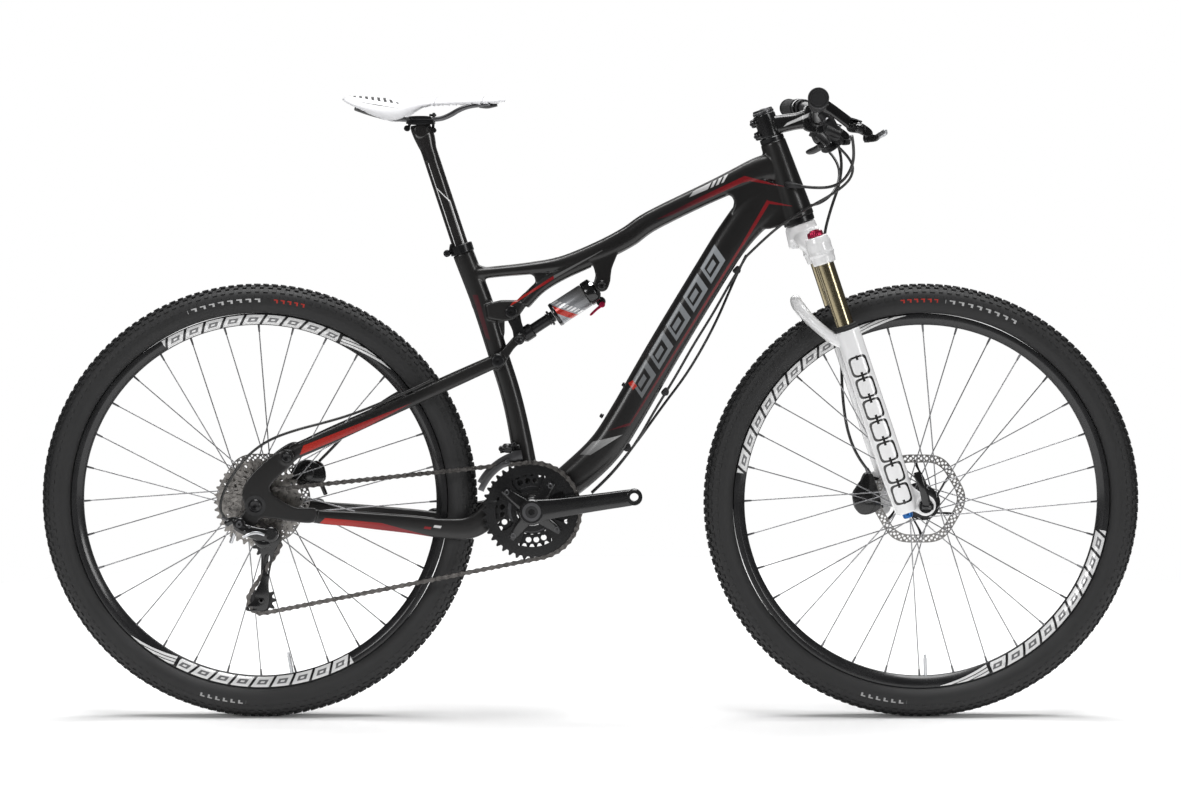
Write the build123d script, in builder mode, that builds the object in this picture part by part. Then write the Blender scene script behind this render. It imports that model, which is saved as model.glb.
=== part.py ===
"""Full-suspension 29er mountain bike: carbon front triangle, four-bar rear end, air fork.

Millimetres. X points forward, Y to the rider's left, Z up. The origin is on the ground under
the middle of the wheelbase; the drive side faces -Y.
"""
from build123d import *
from math import asin, atan2, cos, degrees, pi, radians, sin, tan
import os

os.makedirs("parts", exist_ok=True)

# ---- driving dimensions -------------------------------------------------------------------
WHEELBASE = 1116.0
TYRE_RADIUS = 367.0
TYRE_WIDTH = 55.0
AXLE_HEIGHT = TYRE_RADIUS
RIM_OUTER = 317.0
RIM_INNER = 298.0
SPOKES = 32
REAR_AXLE = Vector(-WHEELBASE / 2, 0, AXLE_HEIGHT)
FRONT_AXLE = Vector(WHEELBASE / 2, 0, AXLE_HEIGHT)
BOTTOM_BRACKET = Vector(-98, 0, 357)
CRANK_LENGTH = 172.5
CRANK_ANGLE = 8.4
CHAIN_PITCH = 12.7
CHAIN_LINE = -58.0
RING_TEETH = (40, 30, 22)
RING_SPACING = 7.8
COG_TEETH = (11, 12, 14, 16, 18, 21, 24, 28, 32, 36)
COG_SPACING = 3.95
PULLEY_TEETH = 11
ROTOR_RADIUS = 80.0

STEER_TOP = Vector(305.1, 0, 972.3)
STEER_DOWN = Vector(0.3189, 0, -0.9478)
STEER_AHEAD = Vector(0.9478, 0, 0.3189)
HEAD_TUBE_LENGTH = 134.8
CROWN_RACE = 144.8
LEG_AHEAD = 14.3
LEG_SPREAD = 65.0
STANCHION_RADIUS = 15.0

SEATPOST_FOOT = Vector(-216.4, 0, 791.9)
SEATPOST_UP = Vector(-0.3107, 0, 0.9505)
SEATPOST_RADIUS = 13.6
BAR_CLAMP = Vector(378.7, 0, 1011.5)
BAR_KINK = Vector(370, 130, 1031)
BAR_END = Vector(354.7, 350, 1035.7)
BAR_RADIUS = 11.1

MAIN_PIVOT = Vector(-125, 0, 405)
DROPOUT_PIVOT = Vector(-505, 0, 448)
ROCKER_PIVOT = Vector(-132.8, 0, 687.5)
SHOCK_LOWER = Vector(-119.5, 0, 642.3)
SHOCK_UPPER = Vector(18.8, 0, 732.3)
STAY_BOLT = Vector(-155, 0, 606)
OPEN_PIVOT_CLEARANCE = 2.8

CAGE_PIVOT = Vector(-531.5, 0, 320.8)
HANGER_BOLT = Vector(-583, 0, 338)
GUIDE_PULLEY = Vector(-541, 0, 302)
TENSION_PULLEY = Vector(-550.5, 0, 206.5)
BRAKE_HOSE_RADIUS = 2.5
HOUSING_RADIUS = 2.2


# ---- shared shapes ------------------------------------------------------------------------
def at(point, y=0.0):
    """The same point in side view, moved to y."""
    return Vector(point.X, y, point.Z)


def side_view(point):
    """The point's place in the XZ plane."""
    return point.X, point.Z


def rod(start, end, radius, end_radius=None):
    """Round bar, or a cone where end_radius is given."""
    axis = Vector(*end) - Vector(*start)
    with BuildPart() as piece:
        with BuildSketch(Plane(origin=start, z_dir=axis)):
            Circle(radius)
        if end_radius is None:
            extrude(amount=axis.length)
        else:
            with BuildSketch(Plane(origin=end, z_dir=axis)):
                Circle(end_radius)
            loft()
    return piece.part


def cross_rod(point, y_low, y_high, radius):
    """Round bar across the bike, from y_low to y_high."""
    return rod(at(point, y_low), at(point, y_high), radius)


def side_plate(outline, y_low, y_high, discs=()):
    """Plate cut from a side view outline, with round ends given as (x, z, radius)."""
    with BuildPart() as plate:
        with BuildSketch(Plane.XZ.offset(-y_high)):
            Polygon(*outline, align=None)
            for x, z, radius in discs:
                with Locations((x, z)):
                    Circle(radius)
        extrude(amount=y_high - y_low)
    return plate.part


def link_bar(first, second, width, y_low, y_high):
    """Flat bar with round ends between two pivots."""
    middle = (first + second) / 2
    run = second - first
    with BuildPart() as bar:
        with BuildSketch(Plane.XZ.offset(-y_high)):
            with Locations(Location((middle.X, middle.Z, 0), (0, 0, degrees(atan2(run.Z, run.X))))):
                SlotCenterToCenter(run.length, width)
        extrude(amount=y_high - y_low)
    return bar.part


def lofted_tube(stations, roundness=0.42):
    """Tube through stations of (x, y, z, width, depth); the width lies across the bike."""
    centres = [Vector(x, y, z) for x, y, z, _, _ in stations]
    with BuildPart() as tube:
        for number, (_, _, _, width, depth) in enumerate(stations):
            ahead = centres[min(number + 1, len(centres) - 1)] - centres[max(number - 1, 0)]
            ahead = ahead.normalized()
            across = Vector(0, 1, 0) - ahead * ahead.Y
            with BuildSketch(Plane(origin=centres[number], x_dir=across, z_dir=ahead)):
                RectangleRounded(width, depth, min(width, depth) * roundness)
        loft()
    return tube.part


def bend_radii(points):
    """The largest arc that each corner's two runs leave room for."""
    radii = []
    for before, corner, after in zip(points, points[1:], points[2:]):
        run_in = corner - before
        run_out = after - corner
        turn = radians(run_in.get_angle(run_out))
        radii.append(0.45 * min(run_in.length, run_out.length) / tan(turn / 2))
    return radii


def bent_tube(name, points, radius, bore=0.0):
    """Round tube or cord along straight runs joined by tangent arcs."""
    points = [Vector(*point) for point in points]
    radii = bend_radii(points)
    with BuildPart() as tube:
        with BuildLine() as route:
            FilletPolyline(*points, radius=radii)
        with BuildSketch(Plane(origin=route.line @ 0, z_dir=route.line % 0)):
            Circle(radius)
            if bore:
                Circle(bore, mode=Mode.SUBTRACT)
        sweep(path=route.line)
    length = sum(edge.length for edge in route.edges())
    expected = length * pi * (radius**2 - bore**2)
    print(f"{name}: length {length:.0f}, volume/expected {tube.part.volume / expected:.4f},",
          "radii", [round(value) for value in radii])
    return tube.part


def toothed_disc(teeth, y, thickness, bore, centre):
    """Sprocket across the bike at y, with one tooth for each roller."""
    pitch_radius = CHAIN_PITCH / 2 / sin(pi / teeth)
    root = pitch_radius - 3.9
    tip = pitch_radius + 2.6
    outline = []
    for tooth in range(teeth):
        for share, radius in ((-0.32, root), (-0.12, tip), (0.12, tip), (0.32, root)):
            angle = 2 * pi * (tooth + share) / teeth
            outline.append((centre.X + radius * cos(angle), centre.Z + radius * sin(angle)))
    with BuildPart() as disc:
        with BuildSketch(Plane.XZ.offset(-y - thickness / 2)):
            Polygon(*outline, align=None)
            with Locations((centre.X, centre.Z)):
                Circle(bore, mode=Mode.SUBTRACT)
        extrude(amount=thickness)
    return disc.part


def wheel_ring(outline, centre):
    """Ring turned about a wheel's axle, from an outline of (radius, y)."""
    with BuildPart() as ring:
        with BuildSketch(Plane(origin=centre, x_dir=(0, 0, 1), z_dir=(-1, 0, 0))):
            Polygon(*outline, align=None)
        revolve(axis=Axis(tuple(centre), (0, 1, 0)))
    return ring.part


def steer_point(down, ahead=0.0, y=0.0):
    """A point down the steering axis from the head tube's top, and ahead of the axis."""
    point = STEER_TOP + STEER_DOWN * down + STEER_AHEAD * ahead
    return Vector(point.X, y, point.Z)


# ---- wheels -------------------------------------------------------------------------------
def make_tyre(centre):
    section_radius = TYRE_WIDTH / 2
    section_centre = TYRE_RADIUS - section_radius
    wall = 3.0
    with BuildPart() as tyre:
        with BuildSketch(Plane(origin=centre, x_dir=(0, 0, 1), z_dir=(-1, 0, 0))):
            with Locations((section_centre, 0)):
                Circle(section_radius)
                Circle(section_radius - wall, mode=Mode.SUBTRACT)
            with Locations((RIM_OUTER / 2, 0)):
                Rectangle(RIM_OUTER, 2 * TYRE_WIDTH, mode=Mode.SUBTRACT)
        revolve(axis=Axis(tuple(centre), (0, 1, 0)))
    return tyre


def make_rim(centre):
    half_width = 12.5
    well = 311.0
    outline = [(RIM_OUTER, -half_width), (RIM_OUTER, -half_width + 2), (well, -half_width + 2),
               (well, half_width - 2), (RIM_OUTER, half_width - 2), (RIM_OUTER, half_width),
               (308, half_width), (RIM_INNER, 4), (RIM_INNER, -4), (308, -half_width)]
    with BuildPart() as rim:
        add(wheel_ring(outline, centre))
    return rim


def make_spokes(centre, right_flange, left_flange):
    """Three-cross lacing: each flange holds half the spokes, leading and trailing by turns."""
    per_side = SPOKES // 2
    flange_pitch = 25.0
    head_offset = 2.6
    crossing = radians(66)
    with BuildPart() as spokes:
        for side, flange_y in ((-1, right_flange), (1, left_flange)):
            for number in range(per_side):
                lead = 1 if number % 2 else -1
                seat = 2 * pi * (number + (0.5 if side > 0 else 0)) / per_side
                hole = seat + lead * crossing
                head_y = flange_y + lead * head_offset
                start = centre + Vector(flange_pitch * cos(hole), head_y, flange_pitch * sin(hole))
                end = centre + Vector(300 * cos(seat), 2.0 * side, 300 * sin(seat))
                add(rod(start, end, 1.0))
    return spokes


def make_hub(centre, half_length, right_flange, left_flange, axle_bore):
    """Shell with two spoke flanges and a through bore."""
    outline = [(axle_bore, -half_length), (10, -half_length), (10, right_flange - 5),
               (28, right_flange - 1.3), (28, right_flange + 1.3), (15, right_flange + 6),
               (15, left_flange - 6), (28, left_flange - 1.3), (28, left_flange + 1.3),
               (17, left_flange + 4), (10, left_flange + 4), (10, half_length),
               (axle_bore, half_length)]
    with BuildPart() as hub:
        add(wheel_ring(outline, centre))
    return hub


def make_rotor(centre, y):
    """Brake disc: a track held by six arms on a six-bolt centre."""
    thickness = 1.8
    with BuildPart() as rotor:
        with BuildSketch(Plane.XZ.offset(-y - thickness / 2)):
            with Locations((centre.X, centre.Z)):
                Circle(ROTOR_RADIUS)
                Circle(ROTOR_RADIUS - 15, mode=Mode.SUBTRACT)
                Circle(26)
                with PolarLocations(46, 6):
                    Rectangle(42, 7)
                Circle(17.2, mode=Mode.SUBTRACT)
                with PolarLocations(22, 6):
                    Circle(2.6, mode=Mode.SUBTRACT)
        extrude(amount=thickness)
    return rotor


front_tyre = make_tyre(FRONT_AXLE)
rear_tyre = make_tyre(REAR_AXLE)
front_rim = make_rim(FRONT_AXLE)
rear_rim = make_rim(REAR_AXLE)
FRONT_FLANGES = (-33.0, 25.0)
REAR_FLANGES = (-12.0, 34.0)
front_spokes = make_spokes(FRONT_AXLE, *FRONT_FLANGES)
rear_spokes = make_spokes(REAR_AXLE, *REAR_FLANGES)
FRONT_HUB_HALF = 49.8
REAR_HUB_HALF = 67.2
AXLE_RADIUS = 7.0
HUB_BORE = 7.05
FRONT_ROTOR_Y = 37.5
REAR_ROTOR_Y = 51.0
front_rotor = make_rotor(FRONT_AXLE, FRONT_ROTOR_Y)
rear_rotor = make_rotor(REAR_AXLE, REAR_ROTOR_Y)
with BuildPart() as front_hub:
    add(make_hub(FRONT_AXLE, FRONT_HUB_HALF, *FRONT_FLANGES, HUB_BORE).part)
    add(cross_rod(FRONT_AXLE, 28, FRONT_ROTOR_Y + 0.9, 17))
    add(cross_rod(FRONT_AXLE, -60, 60, HUB_BORE), mode=Mode.SUBTRACT)
with BuildPart() as rear_hub:
    add(make_hub(REAR_AXLE, REAR_HUB_HALF, *REAR_FLANGES, HUB_BORE).part)
    add(cross_rod(REAR_AXLE, 36, REAR_ROTOR_Y + 0.9, 17))
    add(cross_rod(REAR_AXLE, -80, 80, HUB_BORE), mode=Mode.SUBTRACT)

with BuildPart() as cassette:
    for number, teeth in enumerate(COG_TEETH):
        add(toothed_disc(teeth, CHAIN_LINE + number * COG_SPACING, 1.7, 10.1, REAR_AXLE))
        if number:
            add(cross_rod(REAR_AXLE, CHAIN_LINE + (number - 1) * COG_SPACING,
                          CHAIN_LINE + number * COG_SPACING, 16))
    add(cross_rod(REAR_AXLE, -80, 0, 10.1), mode=Mode.SUBTRACT)

# ---- crank set ----------------------------------------------------------------------------
crank_turn = radians(CRANK_ANGLE)
CRANK_AHEAD = Vector(cos(crank_turn), 0, sin(crank_turn))
PEDAL_RIGHT = BOTTOM_BRACKET + CRANK_AHEAD * CRANK_LENGTH
PEDAL_LEFT = BOTTOM_BRACKET - CRANK_AHEAD * CRANK_LENGTH
PEDAL_THREAD = 7.14
SPINDLE_RADIUS = 12.0
SPIDER_BOLT_CIRCLE = 52.0
TAB_OUTER = CHAIN_LINE + 2.0
TAB_INNER = TAB_OUTER + 3.8


def crank_arm(tip, side):
    """Arm that tapers from the spindle boss to the pedal eye, thinner and further out there."""
    ahead = (tip - BOTTOM_BRACKET).normalized()
    stations = []
    for share, inner, outer, depth in ((0.0, 62, 78, 38), (0.3, 65, 81, 33), (0.7, 69, 85, 29),
                                       (1.0, 71, 86, 27)):
        centre = BOTTOM_BRACKET + ahead * (CRANK_LENGTH * share)
        stations.append((centre.X, side * (inner + outer) / 2, centre.Z, outer - inner, depth))
    with BuildPart() as arm:
        add(lofted_tube(stations, 0.25))
        add(cross_rod(BOTTOM_BRACKET, *sorted((side * 62, side * 78)), 21))
        add(cross_rod(tip, *sorted((side * 71, side * 86)), 14))
        add(cross_rod(tip, -120, 120, PEDAL_THREAD), mode=Mode.SUBTRACT)
    return arm.part


with BuildPart() as crank_right:
    add(crank_arm(PEDAL_RIGHT, -1))
    add(cross_rod(BOTTOM_BRACKET, -66, 76, SPINDLE_RADIUS))
    add(cross_rod(BOTTOM_BRACKET, -62.5, TAB_INNER, 24))
    for turn in range(4):
        angle = crank_turn + pi / 4 + turn * pi / 2
        tab = BOTTOM_BRACKET + Vector(SPIDER_BOLT_CIRCLE * cos(angle), 0, SPIDER_BOLT_CIRCLE * sin(angle))
        hub_edge = BOTTOM_BRACKET + Vector(16 * cos(angle), 0, 16 * sin(angle))
        add(link_bar(hub_edge, tab, 15, TAB_OUTER + 0.02, TAB_INNER - 0.02))
        stand_off = BOTTOM_BRACKET + Vector(32 * cos(angle), 0, 32 * sin(angle))
        add(cross_rod(stand_off, TAB_INNER - 1, CHAIN_LINE + 2 * RING_SPACING - 1.0, 5))

with BuildPart() as crank_left:
    add(crank_arm(PEDAL_LEFT, 1))
    add(cross_rod(BOTTOM_BRACKET, 50, 76, SPINDLE_RADIUS), mode=Mode.SUBTRACT)

RING_BORES = (44.0, 44.0, 27.0)
with BuildPart() as chainrings:
    for number, (teeth, bore) in enumerate(zip(RING_TEETH, RING_BORES)):
        add(toothed_disc(teeth, CHAIN_LINE + number * RING_SPACING, 2.0, bore, BOTTOM_BRACKET))
    for turn in range(4):
        angle = crank_turn + pi / 4 + turn * pi / 2
        seat = BOTTOM_BRACKET + Vector(SPIDER_BOLT_CIRCLE * cos(angle), 0, SPIDER_BOLT_CIRCLE * sin(angle))
        add(cross_rod(seat, CHAIN_LINE, TAB_OUTER, 7))
        add(cross_rod(seat, TAB_INNER, CHAIN_LINE + RING_SPACING, 7))


def chain_loop(offset):
    """Closed line along the chain's pitch line, moved outwards by offset."""
    wheels = ((BOTTOM_BRACKET, RING_TEETH[0], 1), (TENSION_PULLEY, PULLEY_TEETH, 1),
              (GUIDE_PULLEY, PULLEY_TEETH, -1), (REAR_AXLE, COG_TEETH[0], 1))
    centres = [Vector(centre.X, centre.Z) for centre, _, _ in wheels]
    reach = [turn * CHAIN_PITCH / 2 / sin(pi / teeth) + offset for _, teeth, turn in wheels]
    normals = []
    for number in range(len(wheels)):
        following = (number + 1) % len(wheels)
        gap = centres[following] - centres[number]
        heading = atan2(gap.Y, gap.X) - asin((reach[number] - reach[following]) / gap.length)
        normals.append(Vector(-sin(heading), cos(heading)))
    with BuildLine() as loop:
        for number, centre in enumerate(centres):
            arrive = normals[number - 1]
            leave = normals[number]
            middle = (arrive + leave).normalized()
            start = centre + arrive * reach[number]
            end = centre + leave * reach[number]
            ThreePointArc(start, centre + middle * reach[number], end)
            following = (number + 1) % len(wheels)
            Line(end, centres[following] + leave * reach[following])
    return loop.line


CHAIN_HALF_HEIGHT = 4.0
CHAIN_PLATE_INNER = 2.0
CHAIN_PLATE_OUTER = 2.9
outer_loop = chain_loop(CHAIN_HALF_HEIGHT)
inner_loop = chain_loop(-CHAIN_HALF_HEIGHT)
with BuildPart() as chain:
    for y_high in (CHAIN_LINE + CHAIN_PLATE_OUTER, CHAIN_LINE - CHAIN_PLATE_INNER):
        with BuildSketch(Plane.XZ.offset(-y_high)):
            with BuildLine():
                add(outer_loop)
            make_face()
            with BuildLine():
                add(inner_loop)
            make_face(mode=Mode.SUBTRACT)
        extrude(amount=CHAIN_PLATE_OUTER - CHAIN_PLATE_INNER)

# ---- front triangle -----------------------------------------------------------------------
down_tube = lofted_tube([
    (-88, 0, 364, 58, 50), (-27, 0, 408, 56, 56), (23, 0, 456, 54, 57), (60, 0, 512, 54, 57),
    (125, 0, 625, 54, 57), (207, 0, 761, 53, 57), (243, 0, 816, 50, 60), (278, 0, 856, 46, 66),
    (322, 0, 882, 38, 66)])
top_tube = lofted_tube([
    (-198, 0, 750, 36, 20), (-150, 0, 755, 36, 19), (-100, 0, 760, 36, 21), (-46, 0, 768, 37, 26),
    (14, 0, 788, 38, 36), (62, 0, 812, 38, 36), (105, 0, 841, 40, 35), (214, 0, 894, 42, 36),
    (283, 0, 922, 42, 46), (318, 0, 928, 36, 54)])
seat_tube = lofted_tube([
    (-214, 0, 786, 34.5, 34), (-181, 0, 699, 34.5, 35), (-156, 0, 618, 34.5, 34),
    (-137, 0, 558, 35, 34), (-124, 0, 505, 36, 35), (-112, 0, 440, 36, 38), (-101, 0, 365, 36, 42)],
    0.46)
upper_strut = lofted_tube([
    (-112, 0, 701, 40, 23), (-85, 0, 728, 38, 22), (-50, 0, 752, 37, 26), (-5, 0, 776, 37, 32)])
LUG_INNER = 16.0
LUG_OUTER = 22.0
BRACKET_INNER = 12.0
BRACKET_OUTER = 17.0
LINK_PIN = 5.0
SHOCK_PIN = 4.0
MAIN_PIN = 6.0
SHELL_HALF = 36.5
SHELL_BORE = 17.0
STEERER_BORE = 17.0
rocker_lug = [(-180, 712), (-150, 716), (-100, 716), (-104, 700), (-125, 676), (-174, 672)]
shock_bracket = [(-6, 772), (20, 786), (46, 800), (44, 772), (30, 732.3), (8, 732.3)]

with BuildPart() as front_triangle:
    add(rod(steer_point(0), steer_point(HEAD_TUBE_LENGTH), 21.5, 28.0))
    add(down_tube)
    add(top_tube)
    add(seat_tube)
    add(upper_strut)
    add(cross_rod(BOTTOM_BRACKET, -SHELL_HALF, SHELL_HALF, 23))
    add(cross_rod(MAIN_PIVOT, -18, 18, 16))
    add(rod(SEATPOST_FOOT - SEATPOST_UP * 6, SEATPOST_FOOT - SEATPOST_UP * 40, 17.5))
    for y_low, y_high in ((-LUG_OUTER, -LUG_INNER), (LUG_INNER, LUG_OUTER)):
        add(side_plate(rocker_lug, y_low, y_high, [(ROCKER_PIVOT.X, ROCKER_PIVOT.Z, 13)]))
    for y_low, y_high in ((-BRACKET_OUTER, -BRACKET_INNER), (BRACKET_INNER, BRACKET_OUTER)):
        add(side_plate(shock_bracket, y_low, y_high, [(SHOCK_UPPER.X, SHOCK_UPPER.Z, 11)]))
    add(rod(steer_point(-5), steer_point(HEAD_TUBE_LENGTH + 5), STEERER_BORE), mode=Mode.SUBTRACT)
    add(cross_rod(BOTTOM_BRACKET, -60, 60, SHELL_BORE), mode=Mode.SUBTRACT)
    add(cross_rod(MAIN_PIVOT, -60, 60, MAIN_PIN), mode=Mode.SUBTRACT)
    add(cross_rod(ROCKER_PIVOT, -60, 60, LINK_PIN), mode=Mode.SUBTRACT)
    add(cross_rod(SHOCK_UPPER, -60, 60, SHOCK_PIN), mode=Mode.SUBTRACT)
    add(rod(SEATPOST_FOOT + SEATPOST_UP * 20, SEATPOST_FOOT - SEATPOST_UP * 186,
            SEATPOST_RADIUS + 0.05), mode=Mode.SUBTRACT)

with BuildPart() as bearing_cups:
    for side in (-1, 1):
        y_low, y_high = sorted((side * SHELL_HALF, side * 45))
        add(cross_rod(BOTTOM_BRACKET, y_low, y_high, 21.5))
        y_low, y_high = sorted((side * 24, side * 45))
        add(cross_rod(BOTTOM_BRACKET, y_low, y_high, SHELL_BORE))
    add(cross_rod(BOTTOM_BRACKET, -60, 60, SPINDLE_RADIUS + 0.05), mode=Mode.SUBTRACT)
    add(rod(steer_point(-8), steer_point(0), 20.5))
    add(rod(steer_point(0), steer_point(14), STEERER_BORE))
    add(rod(steer_point(HEAD_TUBE_LENGTH), steer_point(HEAD_TUBE_LENGTH + 9.5), 26.5))
    add(rod(steer_point(HEAD_TUBE_LENGTH - 14), steer_point(HEAD_TUBE_LENGTH), STEERER_BORE))
    add(rod(steer_point(-20), steer_point(HEAD_TUBE_LENGTH + 20), 14.35), mode=Mode.SUBTRACT)

with BuildPart() as seat_clamp:
    add(rod(SEATPOST_FOOT - SEATPOST_UP * 6, SEATPOST_FOOT + SEATPOST_UP * 8, 19.5))
    ear = SEATPOST_FOOT + SEATPOST_UP + Vector(-24, 0, -8)
    add(cross_rod(ear, -9, 9, 6))
    add(rod(SEATPOST_FOOT - SEATPOST_UP * 30, SEATPOST_FOOT + SEATPOST_UP * 30,
            SEATPOST_RADIUS + 0.05), mode=Mode.SUBTRACT)

DOWN_TUBE_NORMAL = Vector(-0.8563, 0, 0.5165)
BOTTLE_BOLTS = [Vector(58.6, 0, 562.5), Vector(21.3, 0, 509.9)]
with BuildPart() as frame_fittings:
    for point in BOTTLE_BOLTS:
        add(rod(point, point + DOWN_TUBE_NORMAL * 6, 4))
    add(cross_rod(ROCKER_PIVOT, -LUG_OUTER, LUG_OUTER, LINK_PIN))
    add(cross_rod(SHOCK_UPPER, -BRACKET_OUTER, BRACKET_OUTER, SHOCK_PIN))
    add(cross_rod(MAIN_PIVOT, -34, 34, MAIN_PIN))
    for side in (-1, 1):
        add(cross_rod(ROCKER_PIVOT, *sorted((side * LUG_OUTER, side * 25)), 8))
        add(cross_rod(SHOCK_UPPER, *sorted((side * BRACKET_OUTER, side * 20)), 7))
        add(cross_rod(MAIN_PIVOT, *sorted((side * 33.5, side * 36.5)), 11))
    for point in (Vector(246, 0, 757), Vector(126, 0, 552), Vector(62, 0, 458)):
        add(rod(at(point, -4), at(point, 4), 3.2))

# ---- rear swingarm, seatstays, rocker and shock -------------------------------------------
DROPOUT_INNER = 67.5
DROPOUT_OUTER = 74.5
dropout_outline = [(-512, 460), (-560, 424), (-579, 402), (-580, 384), (-572, 352), (-590, 344),
                   (-590, 332), (-562, 330), (-545, 346), (-512, 342), (-470, 341), (-470, 361),
                   (-510, 372), (-536, 394), (-496, 438)]
with BuildPart() as swingarm:
    add(side_plate(dropout_outline, -DROPOUT_OUTER, -DROPOUT_INNER,
                   [(DROPOUT_PIVOT.X, DROPOUT_PIVOT.Z, 13)]))
    add(lofted_tube([(-505, -70.5, 352, 8, 20), (-460, -63, 351, 12, 20), (-400, -53, 347, 14, 22),
                     (-300, -45.5, 336, 15, 26), (-221, -41, 322, 16, 34), (-182, -37, 334, 15, 40),
                     (-150, -30.5, 368, 13, 40), (-125, -24, 402, 11, 33)], 0.3))
    add(cross_rod(MAIN_PIVOT, -33.2, -18.5, 16.5))
    add(cross_rod(DROPOUT_PIVOT, -68, -59.5, LINK_PIN))
    add(rod((-160, -32, 386), (-160, 0, 386), 9))
    mirror(about=Plane.XZ)
    add(cross_rod(MAIN_PIVOT, -60, 60, MAIN_PIN + 0.05), mode=Mode.SUBTRACT)
    add(cross_rod(REAR_AXLE, -90, 90, AXLE_RADIUS), mode=Mode.SUBTRACT)

with BuildPart() as rear_axle:
    add(cross_rod(REAR_AXLE, -DROPOUT_OUTER, DROPOUT_OUTER, AXLE_RADIUS))
    for side in (-1, 1):
        add(cross_rod(REAR_AXLE, *sorted((side * DROPOUT_OUTER, side * 79)), 11))

STAY_TAB_INNER = 59.5
STAY_TAB_OUTER = 67.2
YOKE_INNER = 19.5
YOKE_OUTER = 25.0
with BuildPart() as seatstays:
    add(link_bar(DROPOUT_PIVOT, Vector(-474, 0, 462), 20, -STAY_TAB_OUTER, -STAY_TAB_INNER))
    add(lofted_tube([(-480, -62.5, 459.3, 8, 19), (-440, -58, 477.4, 12, 20),
                     (-370, -48, 509, 13, 20), (-300, -42, 540.6, 13, 21),
                     (-222, -34, 575.8, 13, 22), (-158, -26.5, 604.6, 11, 21)], 0.3))
    add(cross_rod(STAY_BOLT, -32, -YOKE_INNER, 12))
    add(link_bar(STAY_BOLT, SHOCK_LOWER, 18, -YOKE_OUTER, -YOKE_INNER))
    add(rod((-226, -34, 574), (-226, 0, 574), 7))
    mirror(about=Plane.XZ)
    add(cross_rod(DROPOUT_PIVOT, -90, 90, LINK_PIN + 0.05), mode=Mode.SUBTRACT)
    add(cross_rod(SHOCK_LOWER, -40, 40, 3.0 + OPEN_PIVOT_CLEARANCE), mode=Mode.SUBTRACT)

with BuildPart() as rocker_link:
    add(cross_rod(ROCKER_PIVOT, -15.5, 15.5, 11))
    for side in (-1, 1):
        y_low, y_high = sorted((side * 11.5, side * 15.5))
        add(link_bar(ROCKER_PIVOT, SHOCK_LOWER, 15, y_low, y_high))
        add(cross_rod(SHOCK_LOWER, *sorted((side * 25.4, side * 28.4)), 8.5))
    add(cross_rod(SHOCK_LOWER, -28, 28, 3.0))
    add(cross_rod(ROCKER_PIVOT, -40, 40, LINK_PIN + 0.05), mode=Mode.SUBTRACT)

shock_run = (SHOCK_LOWER - SHOCK_UPPER).normalized()
SHAFT_RADIUS = 9.5
with BuildPart() as shock_body:
    add(cross_rod(SHOCK_UPPER, -11.5, 11.5, 10))
    add(rod(SHOCK_UPPER + shock_run * 4, SHOCK_UPPER + shock_run * 14, 9))
    add(rod(SHOCK_UPPER + shock_run * 13, SHOCK_UPPER + shock_run * 31, 21.5))
    add(rod(SHOCK_UPPER + shock_run * 31, SHOCK_UPPER + shock_run * 95, 20))
    add(rod(SHOCK_UPPER + shock_run * 24, SHOCK_UPPER + shock_run * 90, 17), mode=Mode.SUBTRACT)
    add(rod(SHOCK_UPPER + shock_run * 80, SHOCK_UPPER + shock_run * 100, SHAFT_RADIUS + 0.05),
        mode=Mode.SUBTRACT)
    add(cross_rod(SHOCK_UPPER, -30, 30, SHOCK_PIN + 0.05), mode=Mode.SUBTRACT)

with BuildPart() as shock_shaft:
    add(cross_rod(SHOCK_LOWER, -10.8, 10.8, 10))
    add(rod(SHOCK_LOWER - shock_run * 4, SHOCK_LOWER - shock_run * 98, SHAFT_RADIUS))
    add(rod(SHOCK_LOWER - shock_run * 92, SHOCK_LOWER - shock_run * 100, 16.5))
    add(cross_rod(SHOCK_LOWER, -30, 30, 3.0 + OPEN_PIVOT_CLEARANCE), mode=Mode.SUBTRACT)

LOCKOUT_HINGE = Vector(19.6, 0, 699.2)
with BuildPart() as shock_lockout_lever:
    add(cross_rod(LOCKOUT_HINGE, -9, -3, 5))
    add(link_bar(LOCKOUT_HINGE, LOCKOUT_HINGE + Vector(-17, 0, -17), 4, -8, -4))

# ---- drive train on the rear end ----------------------------------------------------------
CAGE_PLATES = ((CHAIN_LINE - 5.2, CHAIN_LINE - 3.6), (CHAIN_LINE + 3.6, CHAIN_LINE + 5.2))
with BuildPart() as rear_derailleur:
    add(cross_rod(HANGER_BOLT, -91, -DROPOUT_OUTER - 0.2, 11))
    add(rod(at(HANGER_BOLT, -84), at(CAGE_PIVOT, -84), 7, 8))
    add(rod((-558, -84, 316), at(CAGE_PIVOT, -84), 5, 6))
    add(cross_rod(CAGE_PIVOT, -91, -64.2, 11))
    add(rod(at(HANGER_BOLT, -84), HANGER_BOLT + Vector(-16, -84, 3), 5))

with BuildPart() as derailleur_cage:
    for y_low, y_high in CAGE_PLATES:
        add(link_bar(GUIDE_PULLEY, TENSION_PULLEY, 20, y_low, y_high))
    add(link_bar(CAGE_PIVOT, GUIDE_PULLEY, 20, *CAGE_PLATES[0]))
    for pulley in (GUIDE_PULLEY, TENSION_PULLEY):
        add(cross_rod(pulley, CHAIN_LINE - 5.2, CHAIN_LINE + 5.2, 3))


def make_pulley(centre):
    with BuildPart() as pulley:
        add(toothed_disc(PULLEY_TEETH, CHAIN_LINE, 2.0, 3.05, centre))
    return pulley


guide_pulley = make_pulley(GUIDE_PULLEY)
tension_pulley = make_pulley(TENSION_PULLEY)

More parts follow.
